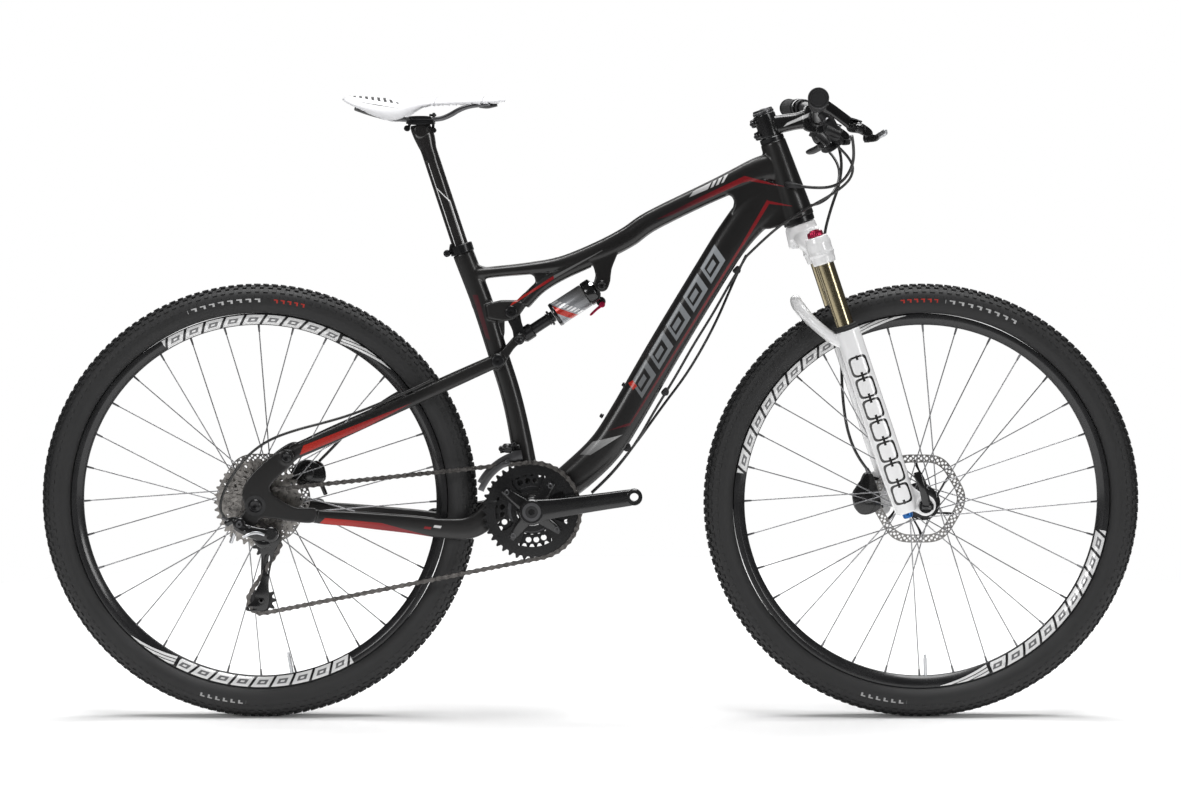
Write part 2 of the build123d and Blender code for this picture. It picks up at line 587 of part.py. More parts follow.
with BuildPart() as front_derailleur:
    add(side_plate([(-150, 452), (-125, 452), (-125, 466), (-150, 466)], -36, -18))
    cage_outline = [(-118, 456), (-170, 446), (-196, 402), (-184, 394), (-160, 432), (-118, 444)]
    add(side_plate(cage_outline, CHAIN_LINE - 7.0, CHAIN_LINE - 5.6))
    add(side_plate(cage_outline, CHAIN_LINE + 5.6, CHAIN_LINE + 7.0))
    add(side_plate([(-150, 449), (-122, 454), (-122, 459), (-150, 455)], CHAIN_LINE - 7, -30))

with BuildPart() as rear_caliper:
    add(side_plate([(-512, 398), (-470, 386), (-452, 398), (-456, 424), (-492, 432)],
                   REAR_ROTOR_Y - 12, REAR_ROTOR_Y + 9))
    add(side_plate([(-530, 360), (-440, 360), (-440, 440), (-530, 440)],
                   REAR_ROTOR_Y - 1.6, REAR_ROTOR_Y + 1.6), mode=Mode.SUBTRACT)
    add(side_plate([(-470, 388), (-452, 398), (-456, 424), (-470, 428)],
                   REAR_ROTOR_Y - 2, REAR_ROTOR_Y + 2))
    add(cross_rod(REAR_AXLE, REAR_ROTOR_Y - 1.6, REAR_ROTOR_Y + 1.6, ROTOR_RADIUS + 1.5),
        mode=Mode.SUBTRACT)

# ---- fork ---------------------------------------------------------------------------------
LEG_BOTTOM = 656.5
WIPER_TOP = 326.0
SOCKET_TOP = CROWN_RACE + 27
SOCKET_BOTTOM = 218.5
with BuildPart() as fork_crown:
    for side in (-1, 1):
        add(rod(steer_point(SOCKET_TOP, LEG_AHEAD, side * LEG_SPREAD),
                steer_point(SOCKET_BOTTOM, LEG_AHEAD, side * LEG_SPREAD), 20))
    add(lofted_tube([(*steer_point(CROWN_RACE + 42, 12, -56), 32, 28),
                     (*steer_point(CROWN_RACE + 22, 6, -28), 44, 26),
                     (*steer_point(CROWN_RACE + 22, 6, 28), 44, 26),
                     (*steer_point(CROWN_RACE + 42, 12, 56), 32, 28)]))
    for side in (-1, 1):
        add(rod(steer_point(SOCKET_TOP - 26, LEG_AHEAD, side * LEG_SPREAD),
                steer_point(SOCKET_TOP, LEG_AHEAD, side * LEG_SPREAD), 17), mode=Mode.SUBTRACT)
        add(rod(steer_point(SOCKET_TOP + 8, LEG_AHEAD, side * LEG_SPREAD),
                steer_point(SOCKET_BOTTOM + 9, LEG_AHEAD, side * LEG_SPREAD), STANCHION_RADIUS),
            mode=Mode.SUBTRACT)
    add(rod(steer_point(HEAD_TUBE_LENGTH - 10), steer_point(CROWN_RACE), 38), mode=Mode.SUBTRACT)
    add(rod(steer_point(-52), steer_point(CROWN_RACE + 12), 14.3))
    add(rod(steer_point(CROWN_RACE), steer_point(CROWN_RACE + 12), 25))
    add(rod(steer_point(-53), steer_point(CROWN_RACE + 2), 11.5), mode=Mode.SUBTRACT)

with BuildPart() as stanchions:
    for side in (-1, 1):
        add(rod(steer_point(SOCKET_TOP + 8, LEG_AHEAD, side * LEG_SPREAD),
                steer_point(WIPER_TOP + 130, LEG_AHEAD, side * LEG_SPREAD), STANCHION_RADIUS))
        add(rod(steer_point(SOCKET_TOP + 12, LEG_AHEAD, side * LEG_SPREAD),
                steer_point(WIPER_TOP + 131, LEG_AHEAD, side * LEG_SPREAD),
                STANCHION_RADIUS - 2.2), mode=Mode.SUBTRACT)

AXLE_DOWN = (FRONT_AXLE - STEER_TOP).dot(STEER_DOWN)
with BuildPart() as fork_lowers:
    for side in (-1, 1):
        add(rod(steer_point(WIPER_TOP + 8, LEG_AHEAD, side * LEG_SPREAD),
                steer_point(LEG_BOTTOM - 120, LEG_AHEAD, side * LEG_SPREAD), 21.5, 23.5))
        add(rod(steer_point(LEG_BOTTOM - 120, LEG_AHEAD, side * LEG_SPREAD),
                steer_point(LEG_BOTTOM, LEG_AHEAD, side * LEG_SPREAD), 23.5, 20))
        add(cross_rod(FRONT_AXLE, *sorted((side * 50, side * 74)), 17))
        web = [side_view(steer_point(AXLE_DOWN - 60, LEG_AHEAD + 4)),
               side_view(steer_point(AXLE_DOWN - 14, 57)),
               side_view(steer_point(AXLE_DOWN + 15, 46)),
               side_view(steer_point(LEG_BOTTOM - 6, LEG_AHEAD + 9))]
        add(side_plate(web, *sorted((side * 56, side * 74))))
    add(bent_tube("fork_arch", [steer_point(352, 2, -61), steer_point(318, -27, -53),
                                steer_point(272, -46, -26), steer_point(272, -46, 26),
                                steer_point(318, -27, 53), steer_point(352, 2, 61)], 9))
    add(side_plate([(486, 340), (520, 340), (510, 410), (474, 410)], 53, 60))
    for side in (-1, 1):
        add(rod(steer_point(WIPER_TOP, LEG_AHEAD, side * LEG_SPREAD),
                steer_point(LEG_BOTTOM - 20, LEG_AHEAD, side * LEG_SPREAD),
                STANCHION_RADIUS + 0.05), mode=Mode.SUBTRACT)
    add(cross_rod(FRONT_AXLE, -90, 90, AXLE_RADIUS), mode=Mode.SUBTRACT)

with BuildPart() as wiper_seals:
    for side in (-1, 1):
        with BuildSketch(Plane(origin=steer_point(WIPER_TOP, LEG_AHEAD, side * LEG_SPREAD),
                               z_dir=STEER_DOWN)):
            Circle(19)
            Circle(STANCHION_RADIUS + 0.05, mode=Mode.SUBTRACT)
        extrude(amount=8)

LEVER_PIN = FRONT_AXLE + Vector(0, -85, 0)
with BuildPart() as front_axle:
    add(cross_rod(FRONT_AXLE, -78, 74, AXLE_RADIUS))
    add(cross_rod(FRONT_AXLE, -80, -74, 12))
    add(cross_rod(FRONT_AXLE, 74, 78, 12))
    for side in (-1, 1):
        inner, outer = FRONT_AXLE.X + side * 8.3, FRONT_AXLE.X + side * 11.5
        add(side_plate([(inner, FRONT_AXLE.Z - 4.5), (outer, FRONT_AXLE.Z - 4.5),
                        (outer, FRONT_AXLE.Z + 4.5), (inner, FRONT_AXLE.Z + 4.5)], -88, -79))
    add(rod(LEVER_PIN - Vector(11, 0, 0), LEVER_PIN + Vector(11, 0, 0), 2))

with BuildPart() as front_qr_lever:
    add(rod(LEVER_PIN - Vector(8, 0, 0), LEVER_PIN + Vector(8, 0, 0), 4.6))
    add(lofted_tube([(*(LEVER_PIN + Vector(0, -0.3, 1)), 7.4, 14),
                     (*(LEVER_PIN + Vector(-1, -1, 9)), 8, 14),
                     (*(FRONT_AXLE + Vector(-6, -90, 30)), 7, 12),
                     (*(FRONT_AXLE + Vector(-13, -89, 52)), 6, 15)]))
    add(rod(LEVER_PIN - Vector(12, 0, 0), LEVER_PIN + Vector(12, 0, 0), 2.1), mode=Mode.SUBTRACT)

with BuildPart() as front_caliper:
    add(side_plate([(458, 340), (493, 352), (480, 412), (462, 408), (446, 372)],
                   FRONT_ROTOR_Y - 11, FRONT_ROTOR_Y + 15))
    add(cross_rod(FRONT_AXLE, FRONT_ROTOR_Y - 1.6, FRONT_ROTOR_Y + 1.6, ROTOR_RADIUS + 2),
        mode=Mode.SUBTRACT)

REBOUND_TOP = steer_point(LEG_BOTTOM, LEG_AHEAD, -LEG_SPREAD)
with BuildPart() as rebound_knob:
    add(rod(REBOUND_TOP + STEER_DOWN * 0.3, REBOUND_TOP + STEER_DOWN * 9, 9, 8))

LOCKOUT_TOP = steer_point(SOCKET_TOP, LEG_AHEAD, -LEG_SPREAD)
with BuildPart() as lockout_knob:
    add(rod(LOCKOUT_TOP - STEER_DOWN * 0.3, LOCKOUT_TOP - STEER_DOWN * 12, 13.5, 11.5))

# ---- cockpit ------------------------------------------------------------------------------
STEM_LOW = -8.5
STEM_HIGH = -48.0
with BuildPart() as stem:
    add(rod(steer_point(STEM_LOW - 4), steer_point(STEM_HIGH), 19))
    stem_root = steer_point(-27)
    add(lofted_tube([(*(stem_root + Vector(8, 0, 1)), 34, 34),
                     (*((stem_root + BAR_CLAMP) / 2), 31, 29),
                     (*(BAR_CLAMP - Vector(12, 0, 3)), 40, 34)]))
    add(rod(steer_point(0), steer_point(-70), 14.3), mode=Mode.SUBTRACT)
    add(side_plate([(BAR_CLAMP.X - 1, 940), (BAR_CLAMP.X + 60, 940), (BAR_CLAMP.X + 60, 1080),
                    (BAR_CLAMP.X - 1, 1080)], -60, 60), mode=Mode.SUBTRACT)
    add(cross_rod(BAR_CLAMP, -60, 60, 15.9), mode=Mode.SUBTRACT)

with BuildPart() as stem_faceplate:
    add(cross_rod(BAR_CLAMP, -20, 20, 19.5))
    for lift in (-21, 21):
        add(rod(BAR_CLAMP + Vector(0, -15, lift), BAR_CLAMP + Vector(9, -15, lift), 5))
        add(rod(BAR_CLAMP + Vector(0, 15, lift), BAR_CLAMP + Vector(9, 15, lift), 5))
    add(cross_rod(BAR_CLAMP, -60, 60, 15.9), mode=Mode.SUBTRACT)
    add(side_plate([(BAR_CLAMP.X + 0.5, 940), (BAR_CLAMP.X - 60, 940), (BAR_CLAMP.X - 60, 1080),
                    (BAR_CLAMP.X + 0.5, 1080)], -60, 60), mode=Mode.SUBTRACT)

with BuildPart() as stem_fasteners:
    add(rod(steer_point(-52.2), steer_point(-57), 17))
    for lift in (-21, 21):
        for y in (-15, 15):
            add(rod(BAR_CLAMP + Vector(9, y, lift), BAR_CLAMP + Vector(13, y, lift), 3.5))
    for down in (-16, -38):
        bolt = steer_point(down, -25)
        add(cross_rod(bolt, -10, 10, 3.5))

bar_points = [at(BAR_KINK, -BAR_KINK.Y), Vector(BAR_CLAMP.X, -52, BAR_CLAMP.Z),
              Vector(BAR_CLAMP.X, 52, BAR_CLAMP.Z), BAR_KINK]
with BuildPart() as handlebar:
    add(bent_tube("handlebar", [at(BAR_END, -BAR_END.Y), *bar_points, BAR_END], BAR_RADIUS, 9))
    add(cross_rod(BAR_CLAMP, -28, 28, 15.9))
    add(cross_rod(BAR_CLAMP, -30, 30, 9), mode=Mode.SUBTRACT)

BAR_OUT = (BAR_END - BAR_KINK).normalized()


def on_bar(out, side):
    """Point on the straight outer bar, out mm from the kink."""
    point = BAR_KINK + BAR_OUT * out
    return Vector(point.X, side * point.Y, point.Z)


GRIP_START = 92.0
GRIP_END = 221.0
with BuildPart() as grips:
    for side in (-1, 1):
        add(rod(on_bar(GRIP_START, side), on_bar(GRIP_END, side), 15.5))
        add(rod(on_bar(GRIP_START - 10, side), on_bar(GRIP_END - 0.5, side), BAR_RADIUS),
            mode=Mode.SUBTRACT)

LEVER_CLAMP = 62.0
LEVER_HINGE = Vector(437, 210, 985)
with BuildPart() as brake_cylinders:
    for side in (-1, 1):
        clamp = on_bar(LEVER_CLAMP, side)
        add(rod(on_bar(LEVER_CLAMP - 7, side), on_bar(LEVER_CLAMP + 7, side), 16))
        add(rod(clamp + Vector(14, 0, -8), Vector(424, side * 190, 992), 9))
        add(rod(Vector(424, side * 162, 993), Vector(428, side * 226, 992), 9.5))
        add(rod(on_bar(LEVER_CLAMP - 20, side), on_bar(LEVER_CLAMP + 20, side), BAR_RADIUS),
            mode=Mode.SUBTRACT)


def make_brake_lever(side):
    with BuildPart() as lever:
        add(rod(Vector(LEVER_HINGE.X + 6, side * 214, LEVER_HINGE.Z - 4),
                Vector(LEVER_HINGE.X + 6, side * 214, LEVER_HINGE.Z - 14), 6))
        add(bent_tube("brake_lever", [(LEVER_HINGE.X + 6, side * 214, LEVER_HINGE.Z - 9),
                                      (LEVER_HINGE.X + 14, side * 240, LEVER_HINGE.Z - 8),
                                      (LEVER_HINGE.X + 14, side * 285, LEVER_HINGE.Z - 4),
                                      (LEVER_HINGE.X + 24, side * 315, LEVER_HINGE.Z + 0)], 4))
    return lever


brake_lever_right = make_brake_lever(-1)
brake_lever_left = make_brake_lever(1)

SHIFTER_CLAMP = 28.0
SHIFT_HINGE = Vector(394, 150, 972)
with BuildPart() as shifter_bodies:
    for side in (-1, 1):
        add(rod(on_bar(SHIFTER_CLAMP - 5, side), on_bar(SHIFTER_CLAMP + 5, side), 15))
        add(rod(on_bar(SHIFTER_CLAMP, side) + Vector(8, 0, -12), Vector(388, side * 152, 995), 7))
        add(rod(Vector(386, side * 150, 1000), Vector(396, side * 150, 974), 17))
        add(rod(on_bar(SHIFTER_CLAMP - 20, side), on_bar(SHIFTER_CLAMP + 20, side), BAR_RADIUS),
            mode=Mode.SUBTRACT)


def make_shift_lever(side):
    with BuildPart() as lever:
        add(rod(Vector(397.2, side * 150, 970.8), Vector(399.8, side * 150, 964), 8))
        add(rod(Vector(399, side * 152, 966), Vector(376, side * 178, 952), 3, 5))
    return lever


shift_lever_right = make_shift_lever(-1)
shift_lever_left = make_shift_lever(1)

# ---- seat ---------------------------------------------------------------------------------
POST_HEAD = Vector(-283, 0, 990)
with BuildPart() as seatpost:
    add(rod(SEATPOST_FOOT - SEATPOST_UP * 100, SEATPOST_FOOT + SEATPOST_UP * 206, SEATPOST_RADIUS))
    add(cross_rod(POST_HEAD, -15, 15, 12))
    add(rod(SEATPOST_FOOT - SEATPOST_UP * 101, SEATPOST_FOOT + SEATPOST_UP * 180, 11),
        mode=Mode.SUBTRACT)

RAIL_Y = 22.0
RAIL_Z = 1008.5
RAIL_RADIUS = 3.5
with BuildPart() as saddle_rails:
    for side in (-1, 1):
        add(bent_tube("rail", [(-382, side * 30, 1027), (-345, side * 26, 1013),
                               (-315, side * RAIL_Y, RAIL_Z), (-255, side * RAIL_Y, RAIL_Z + 0.1),
                               (-215, side * 19, 1027), (-168, side * 9, 1034)], RAIL_RADIUS))

with BuildPart() as saddle_clamp:
    add(side_plate([(-303, 1002), (-265, 1002), (-267, 1014), (-301, 1014)], -27, 27))
    add(saddle_rails.part, mode=Mode.SUBTRACT)

with BuildPart() as saddle:
    for x, width, height, middle in ((-413, 96, 10, 1043), (-398, 132, 18, 1040),
                                     (-350, 128, 22, 1037.5), (-290, 76, 16, 1038.5),
                                     (-210, 42, 13, 1039), (-160, 33, 12, 1040), (-142, 22, 8, 1040)):
        with BuildSketch(Plane(origin=(x, 0, middle), x_dir=(0, 1, 0), z_dir=(1, 0, 0))):
            RectangleRounded(width, height, height * 0.45)
    loft()
    add(saddle_rails.part, mode=Mode.SUBTRACT)

# ---- hoses and cables ---------------------------------------------------------------------
with BuildPart() as frame_housings:
    for y in (-6.5, 6.5):
        add(bent_tube("frame_housing", [
            (257, y, 772), (232, y, 731), (204, y, 681), (172, y, 630), (142, y, 576),
            (108, y, 521), (80, y, 471), (53, y, 434), (27, y, 404), (2, y, 381)], HOUSING_RADIUS))

with BuildPart() as control_cables:
    add(bent_tube("rear_brake_hose", [
        (424, -156, 980), (430, -140, 955), (428, -110, 925), (412, -70, 900), (380, -44, 893),
        (345, -40, 898)], BRAKE_HOSE_RADIUS))
    add(bent_tube("rear_shift_housing_front", [
        (404, -132, 962), (430, -112, 940), (432, -82, 912), (408, -54, 888), (362, -40, 862),
        (320, -38, 836), (286, -26, 806), (261, -10, 780)], HOUSING_RADIUS))
    add(bent_tube("front_shift_housing", [
        (404, 132, 962), (424, 116, 942), (426, 92, 905), (404, 64, 875), (372, 48, 862),
        (345, 42, 868)], HOUSING_RADIUS))
with BuildPart() as front_brake_hose:
    add(bent_tube("front_brake_hose", [
        (424, 156, 980), (434, 150, 950), (430, 130, 905), (412, 108, 860), (398, 96, 810),
        (404, 92, 760), (420, 92, 705), (430, 92, 650), (430, 90, 590), (432, 82, 530),
        (440, 70, 475), (457, 58.5, 434), (472, 48, 415.5)], BRAKE_HOSE_RADIUS))

with BuildPart() as rear_hoses:
    add(bent_tube("rear_shift_housing", [
        (-262, -47, 576), (-300, -50, 558), (-345, -56, 539), (-395, -62, 519), (-440, -68, 506),
        (-490, -78, 494), (-535, -86, 478), (-572, -88, 450), (-598, -88, 414), (-614, -87, 380),
        (-615, -85, 353), (-600, -84, 342)], HOUSING_RADIUS))
    add(bent_tube("rear_caliper_hose", [
        (-262, 44, 577), (-300, 44, 561), (-342, 41, 540), (-380, 36, 512), (-414, 34, 480),
        (-440, 40, 452), (-462, 50, 430)], BRAKE_HOSE_RADIUS))

# ---- write each piece ---------------------------------------------------------------------
pieces = {
    "front_triangle": front_triangle, "bearing_cups": bearing_cups, "seat_clamp": seat_clamp,
    "frame_fittings": frame_fittings, "frame_housings": frame_housings,
    "front_derailleur": front_derailleur, "chain": chain, "seatpost": seatpost,
    "saddle_clamp": saddle_clamp, "saddle_rails": saddle_rails, "saddle": saddle,
    "fork_crown": fork_crown, "stanchions": stanchions, "stem": stem,
    "stem_faceplate": stem_faceplate, "stem_fasteners": stem_fasteners, "handlebar": handlebar,
    "grips": grips, "brake_cylinders": brake_cylinders, "shifter_bodies": shifter_bodies,
    "control_cables": control_cables, "brake_lever_right": brake_lever_right,
    "brake_lever_left": brake_lever_left, "shift_lever_right": shift_lever_right,
    "shift_lever_left": shift_lever_left, "lockout_knob": lockout_knob,
    "fork_lowers": fork_lowers, "wiper_seals": wiper_seals, "front_caliper": front_caliper,
    "front_axle": front_axle, "rebound_knob": rebound_knob, "front_brake_hose": front_brake_hose,
    "front_qr_lever": front_qr_lever, "front_tyre": front_tyre, "front_rim": front_rim,
    "front_spokes": front_spokes, "front_hub": front_hub, "front_rotor": front_rotor,
    "swingarm": swingarm, "rear_caliper": rear_caliper, "rear_axle": rear_axle,
    "rear_derailleur": rear_derailleur, "derailleur_cage": derailleur_cage,
    "guide_pulley": guide_pulley, "tension_pulley": tension_pulley, "rear_tyre": rear_tyre,
    "rear_rim": rear_rim, "rear_spokes": rear_spokes, "rear_hub": rear_hub,
    "rear_rotor": rear_rotor, "cassette": cassette, "seatstays": seatstays,
    "rear_hoses": rear_hoses, "rocker_link": rocker_link, "shock_body": shock_body,
    "shock_shaft": shock_shaft, "shock_lockout_lever": shock_lockout_lever,
    "crank_right": crank_right, "crank_left": crank_left, "chainrings": chainrings,
}
for name, piece in pieces.items():
    piece.part.label = name
    export_step(piece.part, f"parts/{name}.step")
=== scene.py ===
"""Looks of the mountain bike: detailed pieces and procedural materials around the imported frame."""
from math import asin, atan2, cos, exp, pi, radians, sin

import bmesh
import bpy
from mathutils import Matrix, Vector
from mathutils.geometry import tessellate_polygon


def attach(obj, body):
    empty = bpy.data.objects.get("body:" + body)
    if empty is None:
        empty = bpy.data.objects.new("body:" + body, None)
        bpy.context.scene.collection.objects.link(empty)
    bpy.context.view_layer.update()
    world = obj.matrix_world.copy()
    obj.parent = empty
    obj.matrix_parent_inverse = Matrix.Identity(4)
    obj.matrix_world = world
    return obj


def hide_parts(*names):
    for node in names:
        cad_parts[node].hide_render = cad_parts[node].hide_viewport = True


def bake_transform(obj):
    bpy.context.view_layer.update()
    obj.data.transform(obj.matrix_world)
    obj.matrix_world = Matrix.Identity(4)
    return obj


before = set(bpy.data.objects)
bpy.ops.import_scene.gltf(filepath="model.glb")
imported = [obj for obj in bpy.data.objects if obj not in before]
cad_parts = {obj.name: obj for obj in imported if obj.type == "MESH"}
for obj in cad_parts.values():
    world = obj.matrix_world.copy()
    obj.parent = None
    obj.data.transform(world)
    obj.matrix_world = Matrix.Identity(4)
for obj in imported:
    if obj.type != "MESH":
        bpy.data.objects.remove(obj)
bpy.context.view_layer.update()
MM = 0.001
TAU = 2 * pi

# ---- places, in millimetres, as in the CAD -------------------------------------------------
REAR = Vector((-558, 0, 367))
FRONT = Vector((558, 0, 367))
CRANK = Vector((-98, 0, 357))
GUIDE = Vector((-541, 0, 302))
TENSION = Vector((-550.5, 0, 206.5))
CAGE_PIVOT = Vector((-531.5, 0, 320.8))
HANGER = Vector((-583, 0, 338))
CHAIN_Y = -58.0
HALF_PITCH = 6.35  # half of the half-inch chain pitch
COG_SPACING = 3.95
CRANK_LENGTH = 172.5
ROTOR_HALF = 0.9
STEER_TOP = Vector((305.1, 0, 972.3))
DOWN = Vector((0.3189, 0, -0.9478))
AHEAD = Vector((0.9478, 0, 0.3189))
POST_FOOT = Vector((-216.4, 0, 791.9))
POST_UP = Vector((-0.3107, 0, 0.9505))
MAIN_PIVOT = Vector((-125, 0, 405))
DROPOUT_PIVOT = Vector((-505, 0, 448))
ROCKER_PIVOT = Vector((-132.8, 0, 687.5))
SHOCK_LOWER = Vector((-119.5, 0, 642.3))
SHOCK_UPPER = Vector((18.8, 0, 732.3))
STAY_BOLT = Vector((-155, 0, 606))
BAR_CLAMP = Vector((378.7, 0, 1011.5))
BAR_KINK = Vector((370, 130, 1031))
BAR_END = Vector((354.7, 350, 1035.7))
BAR_OUT = (BAR_END - BAR_KINK).normalized()
UP = Vector((0, 0, 1))
ACROSS = Vector((0, 1, 0))


def steer(down, ahead=0.0, y=0.0):
    point = STEER_TOP + DOWN * down + AHEAD * ahead
    return Vector((point.x, y, point.z))


def at(point, y):
    return Vector((point[0], y, point[2]))


def polar(centre, radius, angle):
    """(x, z) at a radius and an angle about a centre, seen from the side."""
    return centre.x + radius * cos(angle), centre.z + radius * sin(angle)


def on_bar(out, side):
    point = BAR_KINK + BAR_OUT * out
    return Vector((point.x, side * point.y, point.z))


# ---- materials -----------------------------------------------------------------------------
class Nodes:
    """Short calls for a material's node tree."""

    def __init__(self, name):
        self.material = bpy.data.materials.new(name)
        self.material.use_nodes = True
        self.tree = self.material.node_tree
        self.shader = self.tree.nodes["Principled BSDF"]

    def new(self, kind, inputs=(), out=0, **settings):
        node = self.tree.nodes.new(kind)
        for key, value in settings.items():
            setattr(node, key, value)
        for key, value in dict(inputs).items():
            self.set(node.inputs[key], value)
        return node.outputs[out]

    def set(self, socket, value):
        if isinstance(value, bpy.types.NodeSocket):
            self.tree.links.new(value, socket)
        elif value is not None:
            socket.default_value = value

    def math(self, kind, a, b=None, c=None):
        inputs = {0: a}
        if b is not None:
            inputs[1] = b
        if c is not None:
            inputs[2] = c
        return self.new("ShaderNodeMath", inputs, operation=kind)

    def mul(self, a, b):
        return self.math("MULTIPLY", a, b)

    def sub(self, a, b):
        return self.math("SUBTRACT", a, b)

    def add(self, a, b):
        return self.math("ADD", a, b)

    def size(self, a):
        return self.math("ABSOLUTE", a)

    def high(self, a, b):
        return self.math("MAXIMUM", a, b)

    def low(self, a, b):
        return self.math("MINIMUM", a, b)

    def div(self, a, b):
        return self.math("DIVIDE", a, b)

    def fma(self, a, b, c):
        return self.math("MULTIPLY_ADD", a, b, c)

    def fract(self, a):
        return self.math("FRACT", a)

    def ramp(self, value, low, high, to_low=0.0, to_high=1.0):
        return self.new("ShaderNodeMapRange", {0: value, 1: low, 2: high, 3: to_low, 4: to_high})

    def place(self):
        return self.new("ShaderNodeTexCoord", out=3)

    def noise(self, scale, detail=3.0, stretch=None, roughness=0.5):
        place = self.place()
        if stretch:
            place = self.new("ShaderNodeMapping", {0: place, 3: stretch})
        return self.new("ShaderNodeTexNoise", {0: place, "Scale": scale, "Detail": detail,
                                               "Roughness": roughness})

    def blend(self, factor, a, b):
        node = self.tree.nodes.new("ShaderNodeMix")
        node.data_type = "RGBA"
        self.set(node.inputs[0], factor)
        self.set(node.inputs[6], a)
        self.set(node.inputs[7], b)
        return node.outputs[2]

    def bump(self, height, strength, distance=0.0005):
        normal = self.new("ShaderNodeBump", {"Height": height, "Strength": strength,
                                             "Distance": distance})
        self.set(self.shader.inputs["Normal"], normal)

    def coordinates(self):
        split = self.tree.nodes.new("ShaderNodeSeparateXYZ")
        self.set(split.inputs[0], self.place())
        return split.outputs[0], split.outputs[1], split.outputs[2]

    def inside(self, x, z, outline, edge=0.0006):
        """1 inside a convex outline of (x, z) in millimetres, given counter-clockwise or clockwise."""
        area = sum(a[0] * b[1] - b[0] * a[1] for a, b in zip(outline, outline[1:] + outline[:1]))
        turn = 1 if area > 0 else -1
        nearest = None
        for a, b in zip(outline, outline[1:] + outline[:1]):
            run = Vector((b[0] - a[0], b[1] - a[1])).normalized() * turn
            across = Vector((-run.y, run.x))
            offset = -(across.x * a[0] + across.y * a[1]) * MM
            part = self.fma(z, across.y, offset)
            part = self.fma(x, across.x, part)
            nearest = part if nearest is None else self.low(nearest, part)
        return self.ramp(nearest, -edge / 2, edge / 2)


def rgb(red, green=None, blue=None):
    return (red, red if green is None else green, red if blue is None else blue, 1.0)


def dim(color, share):
    return (color[0] * share, color[1] * share, color[2] * share, 1.0)


def surface(name, color, rough=0.4, metal=0.0, coat=0.0, grain=(900.0, 0.15), spread=0.15,
            stretch=None, coat_rough=0.1, patch=18.0):
    """Colour and roughness that vary over the piece, with a fine grain in the bump."""
    nodes = Nodes(name)
    broad = nodes.noise(patch, 4.0)
    fine = nodes.noise(grain[0], 2.0, stretch)
    color_mix = nodes.blend(nodes.ramp(broad, 0.3, 0.7), dim(color, 1 - spread), dim(color, 1 + spread))
    nodes.set(nodes.shader.inputs["Base Color"], color_mix)
    mixed = nodes.add(nodes.mul(broad, 0.6), nodes.mul(fine, 0.4))
    nodes.set(nodes.shader.inputs["Roughness"],
              nodes.ramp(mixed, 0.3, 0.7, max(rough - 0.06, 0.02), min(rough + 0.06, 1.0)))
    nodes.shader.inputs["Metallic"].default_value = metal
    nodes.shader.inputs["Coat Weight"].default_value = coat
    nodes.shader.inputs["Coat Roughness"].default_value = coat_rough
    nodes.bump(fine, grain[1])
    nodes.base = color_mix
    return nodes


BLACK = surface("black_anodised", rgb(0.009, 0.009, 0.01), 0.3, 0.35, 0.15)
GLOSS = surface("black_gloss", rgb(0.006, 0.006, 0.0065), 0.2, 0.0, 0.35, (500.0, 0.05))
PLASTIC = surface("black_plastic", rgb(0.012, 0.012, 0.013), 0.5, 0.0, 0.0, (1400.0, 0.35))
RUBBER = surface("grip_rubber", rgb(0.016, 0.016, 0.0165), 0.75, 0.0, 0.0, (1800.0, 0.5))
DARK_STEEL = surface("dark_steel", rgb(0.13, 0.13, 0.135), 0.35, 1.0, 0.0, (800.0, 0.15))
CHAIN_STEEL = surface("chain_steel", rgb(0.15, 0.142, 0.136), 0.3, 1.0, 0.0, (900.0, 0.25), 0.35,
                      patch=160.0)
COG_STEEL = surface("sprocket_steel", rgb(0.42, 0.4, 0.38), 0.3, 1.0, 0.0, (900.0, 0.2), 0.3, patch=120.0)
SPOKE_STEEL = surface("spoke_steel", rgb(0.3, 0.3, 0.31), 0.3, 1.0, 0.0, (600.0, 0.05))
ROTOR_STEEL = surface("rotor_steel", rgb(0.33, 0.32, 0.31), 0.32, 1.0, 0.0, (1200.0, 0.25), 0.2,
                      (6.0, 1.0, 6.0))
WHITE = surface("white_gloss", rgb(0.9, 0.9, 0.905), 0.22, 0.0, 0.5, (300.0, 0.03), 0.02)
BRONZE = surface("stanchion_bronze", rgb(0.36, 0.31, 0.2), 0.2, 1.0, 0.0, (500.0, 0.04), 0.06)
RED = surface("red_anodised", rgb(0.42, 0.012, 0.06), 0.28, 0.7, 0.2)
BLUE = surface("blue_anodised", rgb(0.02, 0.12, 0.36), 0.3, 0.8, 0.1)
CABLE = surface("cable_housing", rgb(0.012, 0.012, 0.012), 0.35, 0.0, 0.2, (900.0, 0.1))
SILVER = surface("silver_alloy", rgb(0.62, 0.63, 0.65), 0.3, 1.0, 0.0, (700.0, 0.1))
COVER_PLASTIC = surface("saddle_shell", rgb(0.02, 0.02, 0.02), 0.45, 0.0, 0.1, (900.0, 0.2))

CARBON = rgb(0.0085, 0.008, 0.008)
BLOCK_FADE = (rgb(0.13, 0.135, 0.14), rgb(0.3, 0.32, 0.34), ((76, 549), (243, 824)))
RED_PAINT = rgb(0.21, 0.005, 0.009)
ORANGE_PAINT = rgb(0.42, 0.018, 0.008)
DARK_RED = rgb(0.055, 0.004, 0.008)


